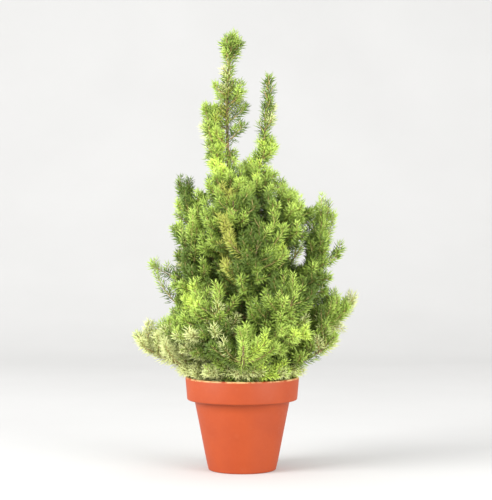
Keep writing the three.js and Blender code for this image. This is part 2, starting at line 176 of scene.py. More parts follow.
@dataclass(frozen=True)
class PotSizes:
    """The pot's driving sizes in millimetres."""

    rim_diameter: float = 120
    height: float = 98
    band_height: float = 24
    band_foot_diameter: float = 116.4
    shoulder_diameter: float = 101
    foot_diameter: float = 72
    wall: float = 4.4
    floor: float = 6
    edge_round: float = 1.6
    ledge_above: float = 3
    ledge_below: float = 4
    ledge_inset: float = 0.6
    floor_corner: float = 3
    drain_holes: int = 4
    drain_diameter: float = 9
    drain_circle: float = 40

    @property
    def band_foot(self) -> float:
        """The height of the band's lower edge."""
        return self.height - self.band_height

    def inside(self, z: float) -> float:
        """Find the radius of the pot's inner wall.

        Args:
            z: The height.

        Returns:
            The radius at that height.
        """
        rim = self.rim_diameter / 2 - self.wall
        ledge = self.band_foot_diameter / 2 - self.wall - self.ledge_inset
        shoulder = self.shoulder_diameter / 2 - self.wall
        foot = self.foot_diameter / 2 - self.wall
        ledge_top = self.band_foot + self.ledge_above
        ledge_foot = self.band_foot - self.ledge_below
        if z > ledge_top:
            return lerp(ledge, rim, (z - ledge_top) / (self.height - ledge_top))
        if z > ledge_foot:
            return lerp(shoulder, ledge, (z - ledge_foot) / (ledge_top - ledge_foot))
        return lerp(foot, shoulder, (z - self.floor) / (ledge_foot - self.floor))


@dataclass(frozen=True)
class TreePlan:
    """The tree's driving sizes in millimetres, and the boughs that grow from them."""

    ground: float = 87.0
    gap: float = 0.3
    trunk_top: float = 330
    trunk_foot_radius: float = 5.0
    trunk_top_radius: float = 1.9
    flare: float = 3.6
    flare_height: float = 7
    lean: tuple[float, float] = (-15, 4)
    bow: float = 5
    buttresses: int = 3
    buttress: float = 0.12
    bough_tip_radius: float = 0.75
    taper_to: float = 0.9
    bare_share: float = 0.28
    sweep_out: float = 0.76
    sweep_rise: float = 0.22
    reach_varies: float = 0.06
    angle_varies: float = 0.28
    leader_tip: tuple[float, float, float] = (-9, 3, 465)
    leader_sway: float = -7
    leader_sway_at: float = 0.55
    leader_tip_radius: float = 0.7
    seed: int = 4021
    tier_seed: int = 1009
    bough_seed: int = 31
    tiers: tuple[Tier, ...] = (
        Tier("skirt", 5, 196, (96, 106), (138, 152), 109, -4, 2.9),
        Tier("low", 6, 236, (114, 140), (188, 208), 97, 20, 3.0),
        Tier("mid", 5, 196, (150, 182), (250, 268), 83, 14, 2.7),
        Tier("high", 5, 178, (198, 230), (290, 306), 61, 5, 2.3),
        Tier("top", 2, 262, (246, 258), (312, 322), 24, 0, 2.0),
    )
    spires: tuple[Spire, ...] = (
        Spire("second_leader", 238, (29, -6, 416), 2.3, 0.5),
        Spire("left_spire", 270, (-35, 5, 382), 1.9, 0.4),
    )

    def trunk_axis(self, z: float) -> np.ndarray:
        """Find the trunk's middle: it leans, and bows on the way.

        Args:
            z: The height.

        Returns:
            The point on the trunk's axis.
        """
        share = (z - self.ground) / (self.trunk_top - self.ground)
        bow = self.bow * math.sin(math.pi * share)
        return np.array((self.lean[0] * share * share - bow / 2, self.lean[1] * share + bow, z))

    def trunk_radius(self, z: float) -> float:
        """Find the trunk's radius, with the root flare at its foot.

        Args:
            z: The height.

        Returns:
            The radius at that height.
        """
        share = (z - self.ground) / (self.trunk_top - self.ground)
        flare = self.flare * math.exp((self.ground - z) / self.flare_height)
        return lerp(self.trunk_foot_radius, self.trunk_top_radius, share) + flare

    def bough(
        self, name: str, foot_z: float, tip: np.ndarray, radius: float, bare: float, dense: bool
    ) -> Bough:
        """Plan one bough, which first runs outwards and then up.

        Args:
            name: The bough's name.
            foot_z: The height of its foot on the trunk's axis.
            tip: The tip of its mass.
            radius: Its radius at the foot.
            bare: The share of its course that is bare.
            dense: True unless it is a spire.

        Returns:
            The bough.
        """
        foot = self.trunk_axis(foot_z)
        bend = foot + (tip - foot) * (self.sweep_out, self.sweep_out, self.sweep_rise)
        course = Course(foot, bend, tip)
        return Bough(name, course, bare, radius, self.bough_tip_radius, self.taper_to, dense)

    def tier_boughs(self, tier: Tier, seed: int) -> list[Bough]:
        """Plan the boughs of one tier, whose neighbours start at different heights.

        Args:
            tier: The tier.
            seed: The seed of its first bough.

        Returns:
            Its boughs.
        """
        boughs = []
        for i in range(tier.count):
            stream = Stream(seed + self.bough_seed * i)
            rank = i // 2 + (i % 2) * math.ceil(tier.count / 2)
            foot_z = lerp(*tier.base, rank / (tier.count - 1))
            degrees = tier.first + 360 / tier.count * (i + self.angle_varies * (stream.draw() - 0.5))
            azimuth = math.radians(degrees)
            reach = tier.reach * stream.about(self.reach_varies)
            tip_z = lerp(*tier.tip, stream.draw())
            tip = np.array((tier.shift + reach * math.cos(azimuth), reach * math.sin(azimuth), tip_z))
            name = f"{tier.name}_{i + 1}"
            boughs.append(self.bough(name, foot_z, tip, tier.foot, self.bare_share, dense=True))
        return boughs

    def boughs(self) -> list[Bough]:
        """Plan every bough, from the pot's rim up, and then the spires'.

        Returns:
            The boughs in the order of the part's source.
        """
        boughs = []
        for i, tier in enumerate(self.tiers):
            boughs += self.tier_boughs(tier, self.seed + self.tier_seed * i)
        for spire in self.spires:
            tip = np.array(spire.tip, float)
            boughs.append(
                self.bough(spire.name, spire.base, tip, spire.foot, spire.bare_share, dense=False)
            )
        return boughs

    def leader(self) -> Bough:
        """Plan the leader's stem, which goes on from the trunk's top.

        Returns:
            The leader as a bough with no bare share.
        """
        foot = self.trunk_axis(self.trunk_top)
        tip = np.array(self.leader_tip, float)
        bend = foot + (tip - foot) * self.leader_sway_at
        bend[0] += self.leader_sway
        course = Course(foot, bend, tip)
        radii = (self.trunk_top_radius, self.leader_tip_radius)
        return Bough("leader", course, 0, *radii, 1, dense=False)


# Tools of the bench


class Bench:
    """Models and finishes meshes with the edit-mode operators, in metres."""

    UPRIGHT = 0.35

    @staticmethod
    def clear() -> None:
        """Leave edit mode and deselect everything."""
        if bpy.context.object and bpy.context.object.mode != "OBJECT":
            bpy.ops.object.mode_set(mode="OBJECT")
        bpy.ops.object.select_all(action="DESELECT")

    @staticmethod
    def select(*pieces: bpy.types.Object) -> None:
        """Select some pieces alone, with the first one active.

        Args:
            pieces: The pieces to select.
        """
        Bench.clear()
        for piece in pieces:
            piece.select_set(True)
        bpy.context.view_layer.objects.active = pieces[0]

    @staticmethod
    def swept(
        name: str, centres: Sequence[Sequence[float]], radii: Sequence[float], sides: int
    ) -> bpy.types.Object:
        """Extrude a round face from point to point, and scale it at each.

        A course that leans out by less than UPRIGHT of its rise starts from a level face.

        Args:
            name: The piece's name.
            centres: The middle of each ring, in millimetres.
            radii: The radius of each ring, in millimetres.
            sides: How many sides the rings have.

        Returns:
            The closed piece, at the origin.
        """
        Bench.clear()
        places = [Vector(centre) * MM for centre in centres]
        whole = places[-1] - places[0]
        upright = abs(whole.x) + abs(whole.y) < Bench.UPRIGHT * abs(whole.z) or whole.length < MM
        turn = (0.0, 0.0, 0.0) if upright else tuple(whole.to_track_quat("Z", "Y").to_euler())
        bpy.ops.mesh.primitive_circle_add(
            vertices=sides, radius=radii[0] * MM, fill_type="NGON", location=places[0], rotation=turn
        )
        piece = bpy.context.object
        bpy.ops.object.mode_set(mode="EDIT")
        bpy.ops.mesh.select_all(action="SELECT")
        for i in range(1, len(places)):
            step = places[i] - places[i - 1]
            bpy.ops.mesh.extrude_region_move(TRANSFORM_OT_translate={"value": step})
            ratio = radii[i] / radii[i - 1]
            bpy.ops.transform.resize(value=(ratio, ratio, ratio), center_override=places[i])
        bpy.ops.mesh.select_all(action="SELECT")
        bpy.ops.mesh.normals_make_consistent(inside=False)
        bpy.ops.object.mode_set(mode="OBJECT")
        return Bench.placed(piece, name)

    @staticmethod
    def placed(piece: bpy.types.Object, name: str) -> bpy.types.Object:
        """Name a piece and put its place into its mesh.

        Args:
            piece: The piece.
            name: Its name.

        Returns:
            The piece, at the origin, unturned and unscaled.
        """
        Bench.select(piece)
        bpy.ops.object.transform_apply(location=True, rotation=True, scale=True)
        piece.name = name
        piece.data.name = name
        return piece

    @staticmethod
    def modify(piece: bpy.types.Object, kind: str, **settings: object) -> None:
        """Add one modifier to a piece and apply it.

        Args:
            piece: The piece.
            kind: The modifier's type.
            settings: The modifier's own settings.
        """
        Bench.select(piece)
        bpy.ops.object.modifier_add(type=kind)
        modifier = piece.modifiers[-1]
        for key, value in settings.items():
            setattr(modifier, key, value)
        bpy.ops.object.modifier_apply(modifier=modifier.name)

    @staticmethod
    def roughen(
        piece: bpy.types.Object, kind: str, grain: float, depth: float, group: str = ""
    ) -> None:
        """Raise a relief on a piece with a procedural texture.

        Args:
            piece: The piece.
            kind: The texture's type, such as CLOUDS or VORONOI.
            grain: The size of its features in millimetres.
            depth: The height of the relief in millimetres.
            group: The vertex group that takes the relief, or nothing for all.
        """
        texture = bpy.data.textures.new(f"{piece.name}_{kind.lower()}", kind)
        texture.noise_scale = grain * MM
        settings = {"texture": texture, "strength": depth * MM, "mid_level": 0.5}
        Bench.modify(piece, "DISPLACE", texture_coords="LOCAL", vertex_group=group, **settings)

    @staticmethod
    def join(pieces: Sequence[bpy.types.Object], name: str) -> bpy.types.Object:
        """Join pieces into one.

        Args:
            pieces: The pieces.
            name: The name of the whole.

        Returns:
            The joined piece.
        """
        Bench.select(*pieces)
        bpy.ops.object.join()
        return Bench.placed(bpy.context.object, name)

    @staticmethod
    def smooth(piece: bpy.types.Object, degrees: float) -> None:
        """Shade a piece smooth wherever its faces meet at less than an angle."""
        Bench.select(piece)
        bpy.ops.object.shade_smooth_by_angle(angle=math.radians(degrees))

    @staticmethod
    def from_arrays(name: str, corners: np.ndarray, faces: np.ndarray) -> bpy.types.Object:
        """Make one joined mesh of many small shapes.

        Args:
            name: The piece's name.
            corners: Its corners in millimetres, one on each row.
            faces: Its triangles, one on each row.

        Returns:
            The piece, at the origin.
        """
        mesh = bpy.data.meshes.new(name)
        mesh.vertices.add(len(corners))
        mesh.vertices.foreach_set("co", (corners * MM).astype(np.float32).ravel())
        mesh.loops.add(faces.size)
        mesh.loops.foreach_set("vertex_index", faces.astype(np.int32).ravel())
        mesh.polygons.add(len(faces))
        mesh.polygons.foreach_set("loop_start", np.arange(0, faces.size, 3, dtype=np.int32))
        mesh.update(calc_edges=True)
        mesh.validate()
        piece = bpy.data.objects.new(name, mesh)
        bpy.context.scene.collection.objects.link(piece)
        return piece


def hand_over(piece: bpy.types.Object, nodes: Iterable[str]) -> None:
    """Put a finished piece in the frame for the part's own nodes, and log it.

    Args:
        piece: The piece, with its finish on it.
        nodes: The names of the nodes that it replaces.
    """
    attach(piece, BODY)
    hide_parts(*nodes)
    triangles = sum(len(face.vertices) - 2 for face in piece.data.polygons)
    LOG.info("%-18s %7d triangles", piece.name, triangles)


# Finishes


class Nodes:
    """Wires up one material's nodes on Object coordinates."""

    def __init__(self, name: str) -> None:
        """Start a material with a plain Principled shader.

        Args:
            name: The material's name.
        """
        self.material = bpy.data.materials.new(name)
        self.material.use_nodes = True
        self.tree = self.material.node_tree
        self.shader = self.tree.nodes["Principled BSDF"]
        self.place = self.tree.nodes.new("ShaderNodeTexCoord").outputs["Object"]

    def noise(self, grain: float, detail: float = 3, rough: float = 0.55) -> bpy.types.NodeSocket:
        """Add a noise.

        Args:
            grain: The size of its features in millimetres.
            detail: How many finer layers it has.
            rough: How strong those are.

        Returns:
            The noise's value.
        """
        node = self.tree.nodes.new("ShaderNodeTexNoise")
        node.inputs["Scale"].default_value = 1 / (grain * MM)
        node.inputs["Detail"].default_value = detail
        node.inputs["Roughness"].default_value = rough
        self.tree.links.new(self.place, node.inputs["Vector"])
        return node.outputs["Fac"]

    def cells(self, grain: float) -> bpy.types.NodeSocket:
        """Add a cell pattern of a grain in millimetres, as the distance to each cell's middle.

        Args:
            grain: The size of its cells in millimetres.

        Returns:
            The distance to each cell's middle.
        """
        node = self.tree.nodes.new("ShaderNodeTexVoronoi")
        node.inputs["Scale"].default_value = 1 / (grain * MM)
        self.tree.links.new(self.place, node.inputs["Vector"])
        return node.outputs["Distance"]

    def height(self, low: float, high: float) -> bpy.types.NodeSocket:
        """Add a soft mask by height.

        Args:
            low: The height in millimetres at which the mask is 0.
            high: The height at which it is 1.

        Returns:
            The mask.
        """
        node = self.tree.nodes.new("ShaderNodeSeparateXYZ")
        self.tree.links.new(self.place, node.inputs["Vector"])
        return self.edge(node.outputs["Z"], low * MM, high * MM)

    def both(self, one: bpy.types.NodeSocket, other: bpy.types.NodeSocket) -> bpy.types.NodeSocket:
        """Multiply two masks.

        Args:
            one: The first mask.
            other: The second mask.

        Returns:
            The mask where both show.
        """
        node = self.tree.nodes.new("ShaderNodeMath")
        node.operation = "MULTIPLY"
        self.tree.links.new(one, node.inputs[0])
        self.tree.links.new(other, node.inputs[1])
        return node.outputs["Value"]

    def ramp(
        self, value: bpy.types.NodeSocket, stops: Iterable[tuple[float, Colour]]
    ) -> bpy.types.NodeSocket:
        """Turn a value into a colour.

        Args:
            value: The value.
            stops: Two pairs of a value and the colour there.

        Returns:
            The colour.
        """
        node = self.tree.nodes.new("ShaderNodeValToRGB")
        for element, (at, colour) in zip(node.color_ramp.elements, stops):
            element.position = at
            element.color = (*colour, 1)
        self.tree.links.new(value, node.inputs["Fac"])
        return node.outputs["Color"]

    def mix(
        self, share: bpy.types.NodeSocket, one: bpy.types.NodeSocket, other: Colour
    ) -> bpy.types.NodeSocket:
        """Mix a colour with another.

        Args:
            share: How much of the other colour shows.
            one: The first colour.
            other: The other colour.

        Returns:
            The mixed colour.
        """
        node = self.tree.nodes.new("ShaderNodeMix")
        node.data_type = "RGBA"
        self.tree.links.new(share, node.inputs["Factor"])
        self.tree.links.new(one, node.inputs["A"])
        node.inputs["B"].default_value = (*other, 1)
        return node.outputs["Result"]

    def ranged(
        self, value: bpy.types.NodeSocket, side: str, low: float, high: float
    ) -> bpy.types.NodeSocket:
        """Bring a value from one range into another, of which one goes from 0 to 1.

        Args:
            value: The value.
            side: From or To, whichever range is given.
            low: That range's lower end.
            high: Its upper end.

        Returns:
            The new value.
        """
        node = self.tree.nodes.new("ShaderNodeMapRange")
        node.inputs[f"{side} Min"].default_value = low
        node.inputs[f"{side} Max"].default_value = high
        self.tree.links.new(value, node.inputs["Value"])
        return node.outputs["Result"]

    def spread(self, value: bpy.types.NodeSocket, low: float, high: float) -> bpy.types.NodeSocket:
        """Bring a value from 0 to 1 into a narrower range."""
        return self.ranged(value, "To", low, high)

    def edge(self, value: bpy.types.NodeSocket, low: float, high: float) -> bpy.types.NodeSocket:
        """Turn a value into a soft mask: 0 at the low value, and 1 at the high one."""
        return self.ranged(value, "From", low, high)

    def bump(self, layers: Iterable[tuple[bpy.types.NodeSocket, float]]) -> None:
        """Raise the surface by layers of height, one on another.

        Args:
            layers: Pairs of a height from 0 to 1 and its depth in millimetres.
        """
        below = None
        for height, depth in layers:
            node = self.tree.nodes.new("ShaderNodeBump")
            node.inputs["Distance"].default_value = depth * MM
            self.tree.links.new(height, node.inputs["Height"])
            if below is not None:
                self.tree.links.new(below, node.inputs["Normal"])
            below = node.outputs["Normal"]
        self.tree.links.new(below, self.shader.inputs["Normal"])

    def drive(self, socket: str, value: bpy.types.NodeSocket) -> None:
        """Link a value to one of the shader's sockets."""
        self.tree.links.new(value, self.shader.inputs[socket])

    def fix(self, **values: float | tuple[float, ...]) -> None:
        """Set constants on the shader's own sockets, by their names with _ for each space."""
        for key, value in values.items():
            self.shader.inputs[key.replace("_", " ")].default_value = value


@dataclass(frozen=True)
class TerracottaFinish:
    """Smooth fired clay, a little dustier in soft patches, with a painted highlight in pale patches on
    its lip.
    """

    clay: Colour = (0.350, 0.0482, 0.0042)
    fired: Colour = (0.314, 0.0405, 0.0035)
    dust: Colour = (0.380, 0.0850, 0.0280)
    # Painted highlight: a pale peach colour on the rim's top, between the lip heights, where light
    # catches the lip.
    lip_highlight: Colour = (0.62, 0.38, 0.17)
    lip: tuple[float, float] = (96.2, 97.5)
    roughness: tuple[float, float] = (0.46, 0.66)

    def material(self) -> bpy.types.Material:
        """Build the finish.

        Returns:
            The material.
        """
        nodes = Nodes("terracotta")
        body = nodes.ramp(nodes.noise(grain=34, detail=4), ((0.3, self.fired), (0.62, self.clay)))
        dusty = nodes.edge(nodes.noise(grain=11, detail=6, rough=0.7), low=0.58, high=1.25)
        patches = nodes.edge(nodes.noise(grain=9, detail=4, rough=0.65), low=0.36, high=0.56)
        # Painted highlight on the lip, broken into patches.
        highlit_lip = nodes.both(nodes.height(*self.lip), patches)
        nodes.drive("Base Color", nodes.mix(highlit_lip, nodes.mix(dusty, body, self.dust), self.lip_highlight))
        nodes.drive("Roughness", nodes.spread(nodes.noise(grain=2.4, detail=4), *self.roughness))
        nodes.fix(Specular_IOR_Level=0.42)
        nodes.bump(
            ((nodes.noise(grain=9), 0.10), (nodes.noise(grain=0.7), 0.05), (nodes.cells(grain=1.6), 0.02))
        )
        return nodes.material


@dataclass(frozen=True)
class PottingMixFinish:
    """Moist dark potting mix."""

    moist: Colour = (0.021, 0.012, 0.007)
    dry: Colour = (0.085, 0.052, 0.030)

    def material(self) -> bpy.types.Material:
        """Build the finish.

        Returns:
            The material.
        """
        nodes = Nodes("potting_mix")
        grains = nodes.noise(grain=3.2, detail=6, rough=0.7)
        nodes.drive("Base Color", nodes.ramp(grains, ((0.36, self.moist), (0.68, self.dry))))
        nodes.fix(Roughness=0.9, Specular_IOR_Level=0.25)
        nodes.bump(((nodes.noise(grain=2.2, detail=5, rough=0.7), 0.8), (nodes.cells(grain=1.3), 0.4)))
        return nodes.material


@dataclass(frozen=True)
class BarkFinish:
    """Rough scaly bark, from grey brown in the furrows to tan on the scales."""

    furrow: Colour = (0.085, 0.052, 0.028)
    scale: Colour = (0.33, 0.215, 0.115)
    grey: Colour = (0.27, 0.235, 0.17)

    def material(self) -> bpy.types.Material:
        """Build the finish.

        Returns:
            The material.
        """
        nodes = Nodes("bark")
        flakes = nodes.noise(grain=1.8, detail=5, rough=0.65)
        scales = nodes.ramp(flakes, ((0.34, self.furrow), (0.6, self.scale)))
        weathered = nodes.edge(nodes.noise(grain=14), low=0.48, high=0.75)
        nodes.drive("Base Color", nodes.mix(weathered, scales, self.grey))
        nodes.fix(Roughness=0.82, Specular_IOR_Level=0.3)
        nodes.bump(((nodes.cells(grain=2.2), 0.35), (nodes.noise(grain=0.9, detail=4), 0.25)))
        return nodes.material


@dataclass(frozen=True)
class TwigFinish:
    """Thin young bark, tan to straw, with the low pegs that needles stand on."""

    tan: Colour = (0.40, 0.28, 0.105)
    straw: Colour = (0.56, 0.46, 0.18)

    def material(self) -> bpy.types.Material:
        """Build the finish.

        Returns:
            The material.
        """
        nodes = Nodes("twig_bark")
        tint = nodes.ramp(nodes.noise(grain=9), ((0.35, self.tan), (0.65, self.straw)))
        nodes.drive("Base Color", tint)
        nodes.fix(Roughness=0.7, Specular_IOR_Level=0.35)
        nodes.bump(((nodes.cells(grain=1.1), 0.2),))
        return nodes.material


class Tone(Enum):
    """The plain colours that needles are dealt, from the darkest to the lightest: older to newer growth,
    and also painted shade in the crown's depths and painted light on its lit places.
    """

    DEEP = (0.110, 0.180, 0.020)
    MID = (0.240, 0.350, 0.046)
    OLIVE = (0.430, 0.460, 0.080)
    FRESH = (0.370, 0.515, 0.080)
    PALE = (0.640, 0.690, 0.285)
    BRIGHT = (0.490, 0.655, 0.120)
    LIME = (0.600, 0.780, 0.110)

    @property
    def piece_name(self) -> str:
        """The name of the piece that holds this tone's needles."""
        return f"needles_{self.name.lower()}"

    @property
    def slot(self) -> str:
        """The record's material slot for this tone."""
        return "young_needles" if self in (Tone.BRIGHT, Tone.LIME) else "needles"


@dataclass(frozen=True)
class NeedleFinish:
    """A stiff waxy needle in one plain colour, with a soft uneven gloss."""

    tone: Tone
    roughness: tuple[float, float] = (0.36, 0.58)

    def material(self) -> bpy.types.Material:
        """Build the finish.

        Returns:
            The material.
        """
        nodes = Nodes(self.tone.piece_name)
        nodes.fix(Base_Color=(*self.tone.value, 1), Specular_IOR_Level=0.45)
        nodes.drive("Roughness", nodes.spread(nodes.noise(grain=6), *self.roughness))
        nodes.bump(((nodes.noise(grain=0.5, detail=2), 0.05),))
        return nodes.material


@dataclass(frozen=True)
class StageFinish:
    """A plain pale studio surface with the faintest mottling."""

    light: Colour = (0.547, 0.548, 0.546)
    shade: Colour = (0.529, 0.530, 0.528)

    def material(self) -> bpy.types.Material:
        """Build the finish.

        Returns:
            The material.
        """
        nodes = Nodes("stage")
        tint = nodes.ramp(nodes.noise(grain=260), ((0.3, self.shade), (0.7, self.light)))
        nodes.drive("Base Color", tint)
        nodes.fix(Roughness=0.85, Specular_IOR_Level=0.2)
        return nodes.material


# The pot and what fills it


def arc(
    centre: tuple[float, float], radius: float, start: float, end: float, steps: int = 5
) -> list[tuple[float, float]]:
    """Lay out part of a circle in a turned profile, between two angles from straight out."""
    angles = [math.radians(lerp(start, end, i / steps)) for i in range(steps + 1)]
    return [(centre[0] + radius * math.cos(a), centre[1] + radius * math.sin(a)) for a in angles]


def turned(name: str, profile: Sequence[tuple[float, float]], sides: int) -> bpy.types.Object:
    """Turn a closed piece on the Z axis by extruding it from ring to ring."""
    centres = [(0.0, 0.0, height) for _, height in profile]
    return Bench.swept(name, centres, [radius for radius, _ in profile], sides)


@dataclass
class Pot:
    """The terracotta pot: a tapering wall under a plain band, with drain holes."""

    sizes: PotSizes = field(default_factory=PotSizes)
    sides: int = 128
    rings: tuple[int, int, int] = (9, 4, 5)
    fillet_steps: int = 4
    inner_top: float = 60
    hole_sides: int = 32
    drilled: tuple[float, float] = (-4, 12)
    wobble: float = 0.35
    piece: bpy.types.Object | None = None

    def profile(self) -> list[tuple[float, float]]:
        """Lay out the wall, from the middle of the underside round to the floor inside.

        Returns:
            Pairs of a radius and a height.
        """
        s = self.sizes
        edge = s.edge_round
        foot, rim = s.foot_diameter / 2, s.rim_diameter / 2
        band_foot = s.band_foot_diameter / 2
        inner_rim = rim - s.wall
        outer_rings, band_rings, inner_rings = self.rings
        lower = np.linspace(edge, s.band_foot - edge, outer_rings)[1:]
        wall = [(lerp(foot, s.shoulder_diameter / 2, z / s.band_foot), float(z)) for z in lower]
        corner = (s.shoulder_diameter / 2 + edge, s.band_foot - edge)
        fillet = arc(corner, edge, 180, 90, self.fillet_steps)[1:]
        inside = [
            *np.linspace(s.height - edge, s.band_foot + s.ledge_above, band_rings)[1:],
            s.band_foot - s.ledge_below,
            *np.linspace(self.inner_top, s.floor + s.floor_corner, inner_rings),
        ]
        return [
            (foot / 2, 0.0),
            *arc((foot - edge, edge), edge, -90, 0),
            *wall,
            *fillet,
            *arc((band_foot - edge, s.band_foot + edge), edge, -90, 0),
            *arc((rim - edge, s.height - edge), edge, 0, 90),
            *arc((inner_rim + edge, s.height - edge), edge, 90, 180),
            *[(s.inside(float(z)), float(z)) for z in inside],
            (foot - s.wall - s.floor_corner, s.floor),
            (foot / 2, s.floor),
        ]

    def build(self) -> None:
        """Turn the wall, true it as a hand-finished pot is, and cut the drain holes."""
        pot = turned("pot_shell", self.profile(), self.sides)
        for i in range(self.sizes.drain_holes):
            self.cut_hole(pot, (i + 0.5) / self.sizes.drain_holes * 2 * math.pi)
        Bench.roughen(pot, "CLOUDS", grain=40, depth=self.wobble)
        Bench.smooth(pot, degrees=40)
        self.piece = pot

    def cut_hole(self, pot: bpy.types.Object, angle: float) -> None:
        """Cut one drain hole through the floor.

        Args:
            pot: The pot.
            angle: The hole's angle round the axis.
        """
        ring, radius = self.sizes.drain_circle / 2, self.sizes.drain_diameter / 2
        ends = [(ring * math.cos(angle), ring * math.sin(angle), z) for z in self.drilled]
        drill = Bench.swept("drill", ends, (radius, radius), self.hole_sides)
        Bench.modify(pot, "BOOLEAN", object=drill, operation="DIFFERENCE", solver="EXACT")
        bpy.data.objects.remove(drill)

    def dress(self) -> None:
        """Give the pot its finish and put it in the frame."""
        self.piece.data.materials.append(TerracottaFinish().material())
        hand_over(self.piece, ["pot"])


@dataclass
class PottingMix:
    """The crumbly potting mix round the trunk's foot."""

    pot: PotSizes
    plan: TreePlan
    edge_dip: float = 2.2
    flat_radius: float = 15
    rings: int = 16
    sides: int = 96
    middle_radius: float = 3
    hair: float = 0.001
    crumbs: int = 420
    crumb_size: tuple[float, float] = (0.7, 2.6)
    crumb_shape: tuple[float, float] = (0.55, 1.25)
    crumb_sunk: float = 0.7
    crumb_margin: float = 4
    crumb_clear: float = 0.06
    seed: int = 73
    piece: bpy.types.Object | None = None

    def surface(self, radius: float) -> float:
        """Find the height of the mix.

        Args:
            radius: How far from the pot's axis.

        Returns:
            The height there.
        """
        edge = self.pot.inside(self.plan.ground)
        share = min(1.0, max(0.0, (radius - self.flat_radius) / (edge - self.flat_radius)))
        return self.plan.ground - self.edge_dip * share

    def build(self) -> None:
        """Turn the mound, roughen its top and strew crumbs on it."""
        gap = self.plan.gap
        edge_z = self.plan.ground - self.edge_dip
        edge = self.pot.inside(edge_z) - gap
        floor = self.pot.floor + gap
        band_foot = self.pot.band_foot
        under = [floor, band_foot - self.pot.ledge_below, band_foot + self.pot.ledge_above]
        walls = [(self.pot.inside(z) - gap, z) for z in under]
        walls[0] = (walls[0][0] - self.pot.floor_corner, floor)
        radii = np.linspace(edge, self.middle_radius, self.rings)
        top = [(float(radius), self.surface(float(radius))) for radius in radii]
        mound = turned("mound", [*walls, *top], self.sides)
        surface = mound.vertex_groups.new(name="surface")
        chosen = [v.index for v in mound.data.vertices if v.co.z > (edge_z - self.hair) * MM]
        surface.add(chosen, 1.0, "REPLACE")
        Bench.modify(mound, "SUBSURF", subdivision_type="SIMPLE", levels=1, render_levels=1)
        Bench.roughen(mound, "CLOUDS", grain=5.5, depth=2.2, group="surface")
        Bench.roughen(mound, "VORONOI", grain=2.2, depth=0.9, group="surface")
        mound.vertex_groups.clear()
        self.piece = Bench.join([mound, self.strewn()], "potting_mix")
        Bench.smooth(self.piece, degrees=50)

    def strewn(self) -> bpy.types.Object:
        """Strew copies of one crumb over the mound.

        Returns:
            The crumbs as one piece.
        """
        Bench.clear()
        bpy.ops.mesh.primitive_ico_sphere_add(subdivisions=1, radius=MM)
        crumb = bpy.context.object
        Bench.roughen(crumb, "CLOUDS", grain=0.9, depth=0.8)
        shape = np.array([tuple(v.co) for v in crumb.data.vertices]) / MM
        faces = np.array([tuple(face.vertices) for face in crumb.data.polygons])
        bpy.data.objects.remove(crumb)
        random = np.random.default_rng(self.seed)
        limit = self.pot.inside(self.plan.ground) - self.crumb_margin
        radii = limit * np.sqrt(random.uniform(self.crumb_clear, 1, self.crumbs))
        angles = random.uniform(0, 2 * math.pi, self.crumbs)
        places = np.stack([radii * np.cos(angles), radii * np.sin(angles)], axis=1)
        heights = np.array([self.surface(float(radius)) for radius in radii])
        scale = random.uniform(*self.crumb_size, (self.crumbs, 1, 1))
        scale = scale * random.uniform(*self.crumb_shape, (self.crumbs, 1, 3))
        turns = random.uniform(0, 2 * math.pi, self.crumbs)
        cos, sin = np.cos(turns)[:, None], np.sin(turns)[:, None]
        lumps = shape[None] * scale
        x = lumps[..., 0] * cos - lumps[..., 1] * sin + places[:, :1]
        y = lumps[..., 0] * sin + lumps[..., 1] * cos + places[:, 1:]
        corners = np.stack([x, y, lumps[..., 2] * self.crumb_sunk + heights[:, None]], axis=2)
        offsets = (np.arange(self.crumbs) * len(shape))[:, None, None]
        return Bench.from_arrays("crumbs", corners.reshape(-1, 3), (faces[None] + offsets).reshape(-1, 3))

    def dress(self) -> None:
        """Give the mix its finish and put it in the frame."""
        self.piece.data.materials.append(PottingMixFinish().material())
        hand_over(self.piece, ["soil"])


# The wood


